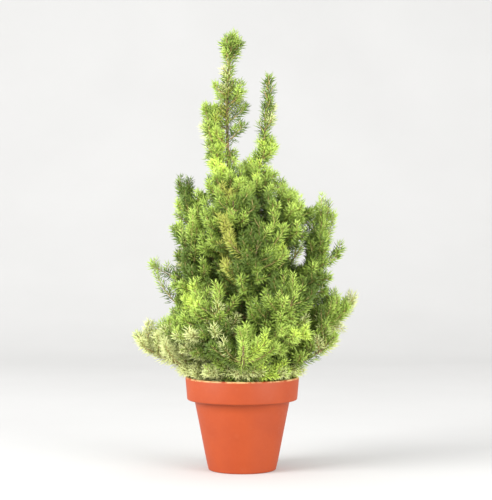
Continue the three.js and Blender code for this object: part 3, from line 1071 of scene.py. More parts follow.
@dataclass
class Wood:
    """The trunk with the leader's stem, and the boughs to their tips, with the bark's relief."""

    plan: TreePlan
    boughs: list[Bough]
    leader: Bough
    trunk_sides: int = 30
    trunk_rings: int = 50
    trunk_crowding: float = 1.6
    leader_rings: int = 12
    end: float = 0.98
    bough_sides: int = 10
    bough_rings: int = 16
    collar: float = 0.3
    collar_share: float = 0.07
    piece: bpy.types.Object | None = None

    def trunk(self) -> bpy.types.Object:
        """Grow the trunk and the leader's stem ring by ring, flare the foot and raise the bark.

        Returns:
            The trunk.
        """
        foot = self.plan.ground + self.plan.gap
        shares = [(i / self.trunk_rings) ** self.trunk_crowding for i in range(self.trunk_rings + 1)]
        heights = [lerp(foot, self.plan.trunk_top, share) for share in shares]
        centres = [self.plan.trunk_axis(z) for z in heights]
        radii = [self.plan.trunk_radius(z) for z in heights]
        above = np.linspace(0, self.end, self.leader_rings)[1:]
        centres += list(self.leader.course.points(above))
        radii += [self.leader.radius(share) for share in above]
        trunk = Bench.swept("trunk_bark", centres, radii, self.trunk_sides)
        self.flare_foot(trunk)
        Bench.modify(trunk, "SUBSURF", levels=1, render_levels=1)
        Bench.roughen(trunk, "STUCCI", grain=3.4, depth=0.9)
        Bench.roughen(trunk, "VORONOI", grain=1.7, depth=0.45)
        return trunk

    def flare_foot(self, trunk: bpy.types.Object) -> None:
        """Push the trunk's foot out into shallow buttresses.

        Args:
            trunk: The trunk.
        """
        for vertex in trunk.data.vertices:
            z = min(vertex.co.z / MM, self.plan.trunk_top)
            axis = self.plan.trunk_axis(z) * MM
            x, y = vertex.co.x - axis[0], vertex.co.y - axis[1]
            swell = self.plan.buttress * math.exp((self.plan.ground - z) / (2 * self.plan.flare_height))
            factor = 1 + swell * math.cos(self.plan.buttresses * math.atan2(y, x))
            vertex.co.x = axis[0] + x * factor
            vertex.co.y = axis[1] + y * factor

    def limb(self, bough: Bough) -> bpy.types.Object:
        """Grow one bough from inside the trunk, through its mass, to its tip.

        Args:
            bough: The bough.

        Returns:
            The limb.
        """
        shares = np.linspace(0, self.end, self.bough_rings)
        radii = [
            bough.radius(share) * (1 + self.collar * math.exp(-share / self.collar_share))
            for share in shares
        ]
        limb = Bench.swept(f"{bough.name}_bark", bough.course.points(shares), radii, self.bough_sides)
        Bench.modify(limb, "SUBSURF", levels=1, render_levels=1)
        Bench.roughen(limb, "STUCCI", grain=2.6, depth=0.6)
        return limb

    def build(self) -> None:
        """Grow the trunk and every bough, and join them."""
        limbs = [self.limb(bough) for bough in self.boughs]
        self.piece = Bench.join([self.trunk(), *limbs], "bark")
        Bench.smooth(self.piece, degrees=60)

    def dress(self) -> None:
        """Give the wood its finish and put it in the frame."""
        self.piece.data.materials.append(BarkFinish().material())
        hand_over(self.piece, ["trunk", *[f"{bough.name}_bough" for bough in self.boughs]])


# The foliage


@dataclass(frozen=True)
class Twig:
    """One twig: its course, its radii, the share of it that is bare, and the spray it is part of."""

    course: Course
    foot_radius: float
    tip_radius: float
    bare: float
    order: int
    mass: int
    spray: int


@dataclass(frozen=True)
class ShootRule:
    """How side shoots stand on the twig that bears them, as in the part's source."""

    length: float
    count: int = 1
    varies: float = 0.15
    spread: float = 52
    lift: float = 0.38
    taper: float = 0.45
    first_place: float = 0.1
    last_place: float = 0.9
    first_turn: float = 0.7
    turn_varies: float = 0.5
    bend_at: float = 0.55
    rise: float = 0.2

    def course(self, bearer: Course, bare: float, index: int, reach: float, stream: Stream) -> Course:
        """Lay out one shoot: out of the twig that bears it, then turning up.

        Args:
            bearer: The course of the twig that bears it.
            bare: The share of that course that bears nothing.
            index: Which shoot it is, from the foot.
            reach: The length of the longest shoot.
            stream: The numbers that vary it.

        Returns:
            The shoot's course.
        """
        place = (index + 0.5) / self.count
        share = lerp(bare, 1, lerp(self.first_place, self.last_place, place))
        start = bearer.points(share)
        along = bearer.headings(share)
        abeam = unit(np.cross(UP, along))
        over = np.cross(along, abeam)
        turn = index * GOLDEN_ANGLE + self.first_turn + self.turn_varies * stream.draw()
        spread = math.radians(self.spread * stream.about(self.varies))
        side = abeam * math.cos(turn) + over * math.sin(turn)
        way = unit(along * math.cos(spread) + side * math.sin(spread) + UP * self.lift)
        length = reach * (1 - self.taper * place) * stream.about(self.varies)
        tip = start + way * length * (1 - self.rise) + UP * length * self.rise
        return Course(start, start + way * length * self.bend_at, tip)


@dataclass(frozen=True)
class Spot:
    """A place in the crown as seen from the front, with its half width and half height."""

    x: float
    z: float
    wide: float
    high: float

    def nearness(self, points: np.ndarray) -> np.ndarray:
        """Find how near points are to the place's middle.

        Args:
            points: One point, or one on each row.

        Returns:
            For each point, 1 at the middle, 0.37 on the edge and 0 far off.
        """
        across = (points[..., 0] - self.x) / self.wide
        up = (points[..., 2] - self.z) / self.high
        return np.exp(-(across**2) - up**2)


@dataclass(frozen=True)
class Outline:
    """The dense crown's outline: how far it goes left and right at each height, in millimetres."""

    heights: tuple[float, ...] = (
        99, 106, 118, 130, 140, 151, 168, 188, 210, 238, 256, 274, 284, 294, 306, 318, 328, 335
    )
    left: tuple[float, ...] = (
        64, 70, 77, 97, 112, 100, 86, 81, 77, 75, 77, 77, 75, 75, 66, 40, 30, 14
    )
    right: tuple[float, ...] = (
        60, 64, 74, 92, 106, 108, 100, 112, 100, 103, 100, 101, 98, 90, 50, 40, 33, 12
    )
    deep: tuple[float, ...] = (
        1, 1, 1, 1, 1, 1, 1, 0.97, 0.96, 0.95, 0.93, 0.89, 0.83, 0.77, 0.9, 0.95, 0.9, 0.8
    )
    gaps: tuple[Spot, ...] = (
        Spot(70, 295, 14, 26), Spot(59, 224, 10, 14), Spot(106, 197, 22, 9), Spot(93, 233, 6, 12),
        Spot(104, 252, 14, 7), Spot(-86, 196, 9, 20), Spot(-98, 168, 16, 8), Spot(-46, 306, 8, 15),
        Spot(14, 374, 6, 40), Spot(4, 341, 12, 12),
    )
    gap_edge: float = 0.5
    needle: float = 8.0
    above: float = 7.0
    ripple: float = 0.05
    lobes: int = 5
    twist: float = 21.0
    back: float = 0.87
    widest: float = 260.0
    shortest: float = 0.5
    cuts: int = 51
    ends: tuple[tuple[str, float], ...] = (
        ("leader", 0.945), ("second_leader", 0.985), ("left_spire", 0.985)
    )

    def half(self, z: np.ndarray) -> np.ndarray:
        """Half the crown's width at each height, without the needles that stand out of it."""
        left, right = np.interp(z, self.heights, self.left), np.interp(z, self.heights, self.right)
        return (left + right) / 2 - self.needle

    def share(self, points: np.ndarray) -> np.ndarray:
        """Find how far out points lie. The crown is as deep as it is wide, and gently lobed.

        Args:
            points: The points, one on each row.

        Returns:
            For each point, 0 on the crown's middle line and 1 on its outline.
        """
        x, y, z = points.T
        z = np.where(z > self.widest, z + self.above, z)
        left, right = np.interp(z, self.heights, self.left), np.interp(z, self.heights, self.right)
        x = x - (right - left) / 2
        y = np.where(y > 0, y / self.back, y) / np.interp(z, self.heights, self.deep)
        lobe = 1 + self.ripple * np.sin(self.lobes * np.arctan2(y, x) + z / self.twist)
        return np.hypot(x, y) / (self.half(z) * lobe)

    def in_gap(self, points: np.ndarray) -> np.ndarray:
        """Test which points lie where the wall shows through the crown."""
        return np.max([gap.nearness(points) for gap in self.gaps], axis=0) > self.gap_edge

    def fitted(self, bough: Bough) -> Bough:
        """End a bough where its needles would leave the outline, or where it meets a gap.

        Args:
            bough: The bough as it is planned.

        Returns:
            The bough, a little shorter where it has to be.
        """
        if not bough.dense:
            return replace(bough, course=bough.course.cut(dict(self.ends)[bough.name]))
        shares = np.linspace(1, self.shortest, self.cuts)
        points = bough.course.points(shares)
        fits = (self.share(points) < 1) & ~self.in_gap(points)
        return replace(bough, course=bough.course.cut(float(shares[fits.argmax()])))


class Spaces:
    """Tells which mass a point lies in, and whether it is clear of the pot."""

    START = 0.3
    POINTS = 14
    CLEARANCE = 1.5

    def __init__(self, masses: Sequence[Bough], pot: PotSizes, plan: TreePlan) -> None:
        """Lay out a chain of points along every stem.

        Args:
            masses: The boughs whose masses share the space.
            pot: The pot's sizes.
            plan: The tree's plan.
        """
        self.shares = np.array([np.linspace(m.bare_share * self.START, 1, self.POINTS) for m in masses])
        chains = np.array([m.course.points(shares) for m, shares in zip(masses, self.shares)])
        self.starts = chains[:, :-1]
        self.steps = chains[:, 1:] - chains[:, :-1]
        self.squares = (self.steps**2).sum(-1)
        self.pot = pot
        self.ground = plan.ground

    def nearest(self, points: np.ndarray) -> tuple[np.ndarray, np.ndarray]:
        """Measure how far points lie from every stem.

        Args:
            points: The points, one on each row.

        Returns:
            The distance from each point to each stem, and the share of the stem that is nearest.
        """
        away = points[:, None, None] - self.starts
        along = np.clip((away * self.steps).sum(-1) / self.squares, 0, 1)
        distances = np.linalg.norm(away - self.steps * along[..., None], axis=-1)
        link = distances.argmin(axis=2)
        rows, columns = np.indices(link.shape)
        shares = (link + along[rows, columns, link]) / (self.POINTS - 1)
        shares = lerp(self.shares[:, 0], self.shares[:, -1], shares)
        return distances[rows, columns, link], shares

    def holds(self, mass: int, points: np.ndarray, leeway: float) -> bool:
        """Test if points lie in one mass's space.

        Args:
            mass: The mass's index.
            points: The points.
            leeway: How far into a neighbour's space they may reach.

        Returns:
            True if all of them do, and none touches the pot.
        """
        distances, _ = self.nearest(points)
        others = np.delete(distances, mass, axis=1)
        inside = (distances[:, mass] <= others.min(axis=1) + leeway).all()
        return bool(inside and self.clear_of_pot(points).all())

    def clear_of_pot(self, points: np.ndarray, clearance: float = CLEARANCE) -> np.ndarray:
        """Test which points are clear of the pot and the mix in it.

        Args:
            points: The points, one on each row.
            clearance: How far they stay away.

        Returns:
            True for each clear point.
        """
        radii = np.hypot(points[:, 0], points[:, 1])
        outside = radii > self.pot.rim_diameter / 2 + clearance
        above = points[:, 2] > self.pot.height + clearance
        inner = self.pot.rim_diameter / 2 - self.pot.wall - clearance
        within = (radii < inner) & (points[:, 2] > self.ground + clearance)
        return above | outside | within


@dataclass
class Growth:
    """Grows every twig: side shoots by the source's rule, then finer ones that fill each space."""

    plan: TreePlan
    masses: list[Bough]
    spaces: Spaces
    outline: Outline
    dense_shoots: ShootRule = ShootRule(length=40, count=4, last_place=0.84)
    spire_shoots: ShootRule = ShootRule(length=20, varies=0.3, spread=46, taper=0, last_place=0.97)
    plumes: tuple[tuple[str, tuple[float, ...]], ...] = (
        ("leader", (0.2, 0.25, 0.3, 0.35, 0.6, 0.65, 0.45, 0.3, 0.7, 0.9, 0.65, 0.25)),
        ("second_leader", (0.7, 0.8, 0.6, 0.4, 0.5, 0.6, 0.65, 0.6, 0.55, 0.4)),
        ("left_spire", (0.7, 0.8, 0.95, 1.0, 1.1, 1.15, 1.0, 0.65)),
    )
    sprays: tuple[tuple[str, tuple[tuple[float, float, float], ...]], ...] = (
        ("leader", (
            (-29, -3, 407), (-26, 4, 396), (0, 2, 406), (-1, -6, 398), (-4, 6, 390),
            (4, 2, 384), (0, -8, 364), (-2, -3, 448), (-19, 3, 450),
            (-4, 5, 440), (-17, -5, 441), (-20, 0, 424), (-30, 3, 383), (-29, 6, 370), (-30, -8, 358),
            (-28, 8, 346), (-26, -6, 338), (-22, 10, 380),
        )),
        ("second_leader", (
            (31, -4, 347), (34, 2, 342), (27, 5, 341), (33, -7, 337), (28, -2, 334),
        )),
        ("mid_3", (
            (84, -6, 290), (92, 0, 282), (83, -14, 276), (97, -4, 270), (88, 4, 262),
            (105, -6, 233), (101, -12, 226),
        )),
        ("", (
            (-96, 4, 218), (-91, -3, 207), (-67, -6, 305), (-57, 3, 306), (-63, -12, 296), (44, -8, 303),
            (36, 6, 303), (119, -3, 184), (113, 6, 179), (110, -14, 173), (118, 3, 178), (103, -6, 176),
            (97, -14, 172), (106, -8, 149), (-48, -38, 106), (-55, -28, 108), (-38, -47, 105),
            (-110, -6, 143), (-103, 4, 135), (-100, -14, 132), (-27, -14, 325), (-20, -20, 320),
            (-9, -6, 321), (0, -10, 320), (9, -4, 321), (18, -8, 320), (27, -4, 317), (34, -10, 311),
            (14, -16, 314), (-68, -6, 280), (-67, 6, 268),
        )),
    )
    plume_density: float = 2.3
    rim_rings: tuple[tuple[int, tuple[float, float], tuple[float, float]], ...] = (
        (64, (54, 65), (101, 108)), (40, (43, 52), (94, 99))
    )
    rim_varies: float = 0.3
    fine_shoots: ShootRule = ShootRule(length=12, count=4, varies=0.35, spread=42, lift=0.4, taper=0.3)
    full_bearer: float = 22.0
    foot_share: float = 0.08
    trials: int = 30000
    box: tuple[tuple[float, float], ...] = ((-125, 130), (-120, 118), (99, 327))
    nearest: float = 9.0
    furthest: float = 62.0
    outer_spacing: float = 10.2
    inner_spacing: float = 17.0
    shell: float = 28.0
    set_back: float = 0.8
    sweep: tuple[float, float, float] = (0.7, 0.7, 0.34)
    level_bend: float = 0.5
    bend_clearance: float = 1.0
    bend_lift: float = 2.0
    tested: tuple[float, ...] = (0.5, 0.8, 1.0)
    crossing: tuple[float, float, int] = (0.2, 1, 9)
    twig_sizes: tuple[tuple[float, float, float], ...] = ((0.9, 0.25, 0.1), (0.46, 0.14, 0.04))
    needled: float = 36.0
    leeway: float = 7.0
    least: float = 6.0
    least_plume: float = 4.0
    shorter: tuple[float, ...] = (1.0, 0.75, 0.55)
    mass_seed: int = 977
    shoot_seed: int = 53
    fine_seed: int = 7
    filling_seed: int = 6007

    def stem(self, index: int, bough: Bough) -> Twig:
        """Take a bough as the stem of its mass, with needles from near the trunk on a dense one."""
        bare = bough.bare_share if bough.dense else max(bough.bare_share, self.foot_share)
        return Twig(bough.course, bough.foot_radius, bough.radius(1), bare, 0, index, index)

    def shoots(self, bearer: Twig, rule: ShootRule, reach: float, seed: int) -> list[Twig]:
        """Grow the side shoots of one twig, without those that would leave its mass's space.

        Args:
            bearer: The twig that bears them.
            rule: The rule that they follow.
            reach: The length of the longest.
            seed: The seed of the first.

        Returns:
            The side shoots.
        """
        grown = []
        for i in range(rule.count):
            stream = Stream(seed + self.shoot_seed * (i + 1))
            whole = rule.course(bearer.course, bearer.bare, i, reach, stream)
            for scale in self.shorter:
                bend = whole.foot + (whole.bend - whole.foot) * scale
                course = Course(whole.foot, bend, whole.foot + (whole.tip - whole.foot) * scale)
                if course.length() < self.least:
                    break
                points = course.points(np.array(self.tested))
                held = self.spaces.holds(bearer.mass, points, self.leeway)
                if held and not self.outline.in_gap(points).any():
                    spray = bearer.spray if bearer.order else seed + i
                    grown.append(self.side_twig(course, bearer.order + 1, bearer.mass, spray))
                    break
        return grown

    def plume(self, stem: Twig, widths: Sequence[float], seed: int) -> list[Twig]:
        """Grow the side shoots of a spire, longer and shorter by turns as the spire widens and narrows.

        Args:
            stem: The spire's stem.
            widths: The shoots' length at even steps up the spire, as shares of the longest.
            seed: The seed of the first.

        Returns:
            The side shoots.
        """
        grown = []
        rule = replace(self.spire_shoots, count=round(self.plume_density * len(widths)))
        for i in range(rule.count):
            place = (i + 0.5) / rule.count
            width = float(np.interp(place * (len(widths) - 1), range(len(widths)), widths))
            stream = Stream(seed + self.shoot_seed * (i + 1))
            course = rule.course(stem.course, stem.bare, i, rule.length * width, stream)
            if course.length() > self.least_plume:
                grown.append(self.side_twig(course, 1, stem.mass, seed + i))
        return grown

    def side_twig(self, course: Course, order: int, mass: int, spray: int) -> Twig:
        """Make a twig of a course. Only its last stretch has needles.

        Its row of twig_sizes gives its radius at the foot, that at the tip and its least bare share.

        Args:
            course: Its course.
            order: 1 on a stem, and 2 on another twig.
            mass: The mass that it is in.
            spray: The spray that it is part of.

        Returns:
            The twig.
        """
        radius, tip_radius, least_bare = self.twig_sizes[order - 1]
        bare = max(least_bare, 1 - self.needled / course.length())
        return Twig(course, radius, tip_radius, bare, order, mass, spray)

    def tips(self, kept: np.ndarray) -> np.ndarray:
        """Scatter the tips of the finer twigs through the crown, closest near its outside.

        Args:
            kept: The tips that are there already.

        Returns:
            The new tips, one on each row.
        """
        random = np.random.default_rng(self.filling_seed)
        low, high = np.array(self.box).T
        points = random.uniform(low, high, (self.trials, 3))
        share = self.outline.share(points)
        deep = (1 - share) * self.outline.half(points[:, 2])
        points, deep = points[share < 1], deep[share < 1]
        distances = self.spaces.nearest(points)[0].min(axis=1)
        fits = (distances > self.nearest) & (distances < self.furthest)
        fits &= self.spaces.clear_of_pot(points) & ~self.outline.in_gap(points)
        first = len(kept)
        for point, depth in zip(points[fits], deep[fits]):
            spacing = lerp(self.outer_spacing, self.inner_spacing, min(1.0, depth / self.shell))
            if np.linalg.norm(kept - point, axis=1).min() > spacing:
                kept = np.vstack([kept, point])
        return kept[first:]

    def rim_tips(self) -> np.ndarray:
        """Lay a ring of tips close over the pot's rim, and one inside its mouth.

        Returns:
            The tips, one on each row.
        """
        random = np.random.default_rng(self.filling_seed + 1)
        rings = []
        for count, radii, heights in self.rim_rings:
            steps = np.arange(count) + random.uniform(-self.rim_varies, self.rim_varies, count)
            angles = steps / count * 2 * math.pi
            ring = random.uniform(*radii, count)
            tips = (ring * np.cos(angles), ring * np.sin(angles), random.uniform(*heights, count))
            rings.append(np.stack(tips, axis=1))
        return np.concatenate(rings)

    def filling(self) -> list[Twig]:
        """Grow a finer twig from the nearest stem to each tip, outwards and then up as a bough does.

        Returns:
            The finer twigs.
        """
        placed = [(name, np.array(points, float)) for name, points in self.sprays]
        placed.append(("", self.rim_tips()))
        placed.append(("", self.tips(np.concatenate([points for _, points in placed]))))
        names = [mass.name for mass in self.masses]
        grown = []
        for name, tips in placed:
            distances, shares = self.spaces.nearest(tips)
            chosen = [names.index(name)] * len(tips) if name else distances.argmin(axis=1)
            for row, mass in enumerate(chosen):
                nearest = (distances[row, mass], shares[row, mass])
                spray = self.filling_seed + len(grown)
                grown.append(self.branch(tips[row], int(mass), *nearest, spray))
        given = sum(len(points) for _, points in self.sprays)
        shares = np.linspace(*self.crossing)
        crosses = [self.outline.in_gap(twig.course.points(shares)).any() for twig in grown]
        return [twig for row, twig in enumerate(grown) if row < given or not crosses[row]]

    def branch(self, tip: np.ndarray, mass: int, distance: float, share: float, spray: int) -> Twig:
        """Grow one finer twig from a stem to a tip.

        Args:
            tip: Where it ends.
            mass: The index of the mass whose stem bears it.
            distance: How far the stem is from its tip.
            share: The share of the stem that is nearest to its tip.
            spray: The spray that it starts.

        Returns:
            The twig.
        """
        stem = self.masses[mass].course
        start = stem.points(max(self.foot_share, share - self.set_back * distance / stem.length()))
        bend = start + (tip - start) * (self.sweep if tip[2] > start[2] else self.level_bend)
        if not self.spaces.clear_of_pot(bend[None], self.bend_clearance).all():
            bend = (start + tip) / 2 + UP * self.bend_lift
        return self.side_twig(Course(start, bend, tip), 1, mass, spray)

    def grow(self) -> list[Twig]:
        """Grow the whole crown.

        Returns:
            Every twig: stems, side shoots and the finer twigs on them.
        """
        stems = [self.stem(index, bough) for index, bough in enumerate(self.masses)]
        sides = self.filling()
        for stem, bough in zip(stems, self.masses):
            seed = self.plan.seed + self.mass_seed * (stem.mass + 1)
            if bough.dense:
                sides += self.shoots(stem, self.dense_shoots, self.dense_shoots.length, seed)
            else:
                sides += self.plume(stem, dict(self.plumes)[bough.name], seed)
        fine = []
        for side in sides:
            reach = self.fine_shoots.length * min(1.0, side.course.length() / self.full_bearer)
            fine += self.shoots(side, self.fine_shoots, reach, side.spray * self.fine_seed)
        return [*stems, *sides, *fine]


@dataclass
class Twigs:
    """The woody side shoots inside the foliage, in one mesh. Finer ones have fewer sides and rings."""

    twigs: list[Twig]
    masses: list[Bough]
    sides: tuple[int, int] = (4, 3)
    rings: tuple[int, int] = (5, 3)
    end: float = 0.96
    aside: tuple[float, float, float] = (0.31, 0.87, -0.38)
    piece: bpy.types.Object | None = None

    def tube(self, twig: Twig) -> tuple[np.ndarray, np.ndarray]:
        """Lay out one closed tapering tube.

        Args:
            twig: The twig.

        Returns:
            Its corners and its triangles.
        """
        sides, rings = self.sides[twig.order - 1], self.rings[twig.order - 1]
        shares = np.linspace(0, self.end, rings)
        middles, along = twig.course.points(shares), twig.course.headings(shares)
        across = unit(np.cross(along, np.array(self.aside)))
        over = np.cross(along, across)
        angles = np.arange(sides) / sides * 2 * math.pi
        radii = lerp(twig.foot_radius, twig.tip_radius, shares)[:, None, None]
        ring = across[:, None] * np.cos(angles)[:, None] + over[:, None] * np.sin(angles)[:, None]
        corners = np.concatenate([(middles[:, None] + ring * radii).reshape(-1, 3), middles[[0, -1]]])
        j = np.arange(sides)
        ahead = (j + 1) % sides
        first, last = rings * sides, rings * sides + 1
        top = (rings - 1) * sides
        faces = [np.stack([np.full(sides, first), ahead, j], 1)]
        faces.append(np.stack([np.full(sides, last), top + j, top + ahead], 1))
        for k in range(rings - 1):
            a, b = k * sides + j, k * sides + ahead
            faces += [np.stack([a, b, b + sides], 1), np.stack([a, b + sides, a + sides], 1)]
        return corners, np.concatenate(faces)

    def build(self) -> None:
        """Join every side shoot's tube into one mesh."""
        corners, faces, offset = [], [], 0
        for twig in [twig for twig in self.twigs if twig.order > 0]:
            tube, triangles = self.tube(twig)
            corners.append(tube)
            faces.append(triangles + offset)
            offset += len(tube)
        self.piece = Bench.from_arrays("twigs", np.concatenate(corners), np.concatenate(faces))
        Bench.smooth(self.piece, degrees=60)

    def dress(self) -> None:
        """Give the twigs their finish and put them in the frame."""
        self.piece.data.materials.append(TwigFinish().material())
        hand_over(self.piece, [f"{bough.name}_needles" for bough in self.masses])


@dataclass(frozen=True)
class Zone:
    """A place in the crown where many sprays have one tone."""

    tone: Tone
    spot: Spot
    share: float


@dataclass
class ToneRule:
    """Deals a tone to the foot and to the tip of each twig, by its place in the crown. Darker tones deep
    inside and in shaded spots are painted shade, and lighter ones towards the outside, low down and in
    lit spots are painted light, on top of older and newer growth and chance.
    """

    outline: Outline
    # Painted light: spots where needles are dealt lighter tones, at lit places and on tufts that the
    # crown above shades.
    bright: tuple[Spot, ...] = (
        Spot(-27, 322, 11, 12), Spot(-25, 361, 15, 22), Spot(29, 341, 8, 8), Spot(37, 177, 8, 12),
        Spot(17, 132, 7, 11), Spot(53, 276, 12, 12), Spot(38, 236, 11, 11), Spot(-53, 186, 9, 16),
        Spot(-52, 262, 10, 14), Spot(40, 110, 14, 8), Spot(10, 320, 26, 12), Spot(60, 150, 12, 10),
        Spot(-46, 107, 20, 10),
    )
    # Painted shade: spots where needles are dealt darker tones.
    dim: tuple[Spot, ...] = (
        Spot(6, 368, 10, 26), Spot(26, 385, 12, 26), Spot(6, 212, 24, 26), Spot(12, 250, 14, 20),
        Spot(70, 250, 10, 24), Spot(-24, 146, 30, 26), Spot(-64, 300, 12, 16), Spot(12, 284, 20, 10),
        Spot(-62, 226, 13, 22), Spot(76, 190, 12, 20),
    )
    spire_foot: float = 330
    spire_out: float = 0.95
    most_out: float = 1.1
    middle: float = 230
    low_depth: float = 130
    high_depth: float = 50
    # Painted shade and light: needles are dealt darker tones deep in the crown, lighter ones towards its
    # outside (out_gain), lighter ones below its middle where the crown above shades them (low_gain), and
    # a little lighter at the top (high_gain).
    out_gain: float = 0.6
    low_gain: float = 0.2
    high_gain: float = 0.1
    spot_gain: float = 0.55
    front_depths: tuple[float, float] = (10, 60)
    front_shares: tuple[float, float] = (1, 0.4)
    # Pale zones: paler needles, which along the rim and low on the left also paint light on tufts that
    # the crown above shades.
    zones: tuple[Zone, ...] = (
        Zone(Tone.PALE, Spot(-85, 130, 34, 30), 1.4),
        Zone(Tone.PALE, Spot(-48, 107, 28, 14), 1.3),
        Zone(Tone.PALE, Spot(4, 105, 34, 9), 0.6),
        Zone(Tone.PALE, Spot(52, 106, 26, 10), 0.6),
        Zone(Tone.PALE, Spot(80, 134, 24, 20), 0.55),
        Zone(Tone.PALE, Spot(104, 148, 16, 18), 0.6),
        Zone(Tone.PALE, Spot(120, 183, 10, 12), 0.5),
        Zone(Tone.PALE, Spot(68, 170, 12, 12), 0.35),
        Zone(Tone.PALE, Spot(-30, 165, 22, 24), 0.25),
        Zone(Tone.OLIVE, Spot(-17, 250, 8, 46), 1.1),
        Zone(Tone.OLIVE, Spot(-14, 396, 10, 26), 0.4),
        Zone(Tone.OLIVE, Spot(-18, 357, 12, 24), 0.5),
        Zone(Tone.OLIVE, Spot(-62, 225, 12, 26), 0.3),
        Zone(Tone.PALE, Spot(-37, 356, 9, 20), 0.25),
        Zone(Tone.PALE, Spot(-22, 403, 10, 18), 0.7),
        Zone(Tone.PALE, Spot(28, 385, 12, 36), 0.35),
        Zone(Tone.PALE, Spot(6, 368, 9, 24), 0.35),
    )
    least_near: float = 0.2
    zone_foot: float = 0.4
    spray_seed: int = 193
    spray_varies: float = 0.5
    twig_varies: float = 0.42
    foot_drop: float = 0.34
    steps: tuple[float, float, float, float] = (0.30, 0.52, 0.78, 1.04)

    def brightness(self, point: np.ndarray) -> float:
        """Find how bright the needles at a point are before chance is added, with painted shade deep in
        the crown and painted light towards its outside, low down and in lit spots.

        Args:
            point: The point.

        Returns:
            About 0 in the crown's depths, as painted shade, and over 1 on new growth and on painted lit
            places.
        """
        bright = max(float(spot.nearness(point)) for spot in self.bright)
        dim = max(float(spot.nearness(point)) for spot in self.dim)
        low = max(0.0, (self.middle - point[2]) / self.low_depth)
        high = min(1.0, max(0.0, (point[2] - self.middle) / self.high_depth))
        out = self.spire_out
        if point[2] < self.spire_foot:
            out = min(self.most_out, float(self.outline.share(point[None])[0]))
        plain = self.out_gain * out**2 + self.low_gain * low + self.high_gain * high
        return plain + self.front(point) * self.spot_gain * (bright - dim)

    def front(self, point: np.ndarray) -> float:
        """How much the places that the photograph shows count at a point: less at the back."""
        return float(np.interp(point[1], self.front_depths, self.front_shares))

    def tones(self, twig: Twig, stream: Stream) -> tuple[Tone, Tone]:
        """Deal the tones of one twig.

        Args:
            twig: The twig.
            stream: The numbers that vary it.

        Returns:
            The tone of its foot and that of its tip.
        """
        tip = twig.course.tip
        spray = Stream(twig.spray * self.spray_seed)
        level = self.brightness(tip) + self.spray_varies * (spray.draw() - 0.5)
        level += self.twig_varies * (stream.draw() - 0.5)
        for zone in self.zones:
            near = float(zone.spot.nearness(tip)) * self.front(tip)
            if spray.draw() < zone.share * near and near > self.least_near:
                return (zone.tone if level > self.zone_foot else Tone.MID), zone.tone
        return self.tone_at(level - self.foot_drop), self.tone_at(level)

    def tone_at(self, level: float) -> Tone:
        """The tone for a brightness."""
        ladder = (Tone.DEEP, Tone.MID, Tone.FRESH, Tone.BRIGHT, Tone.LIME)
        return ladder[sum(level > step for step in self.steps)]


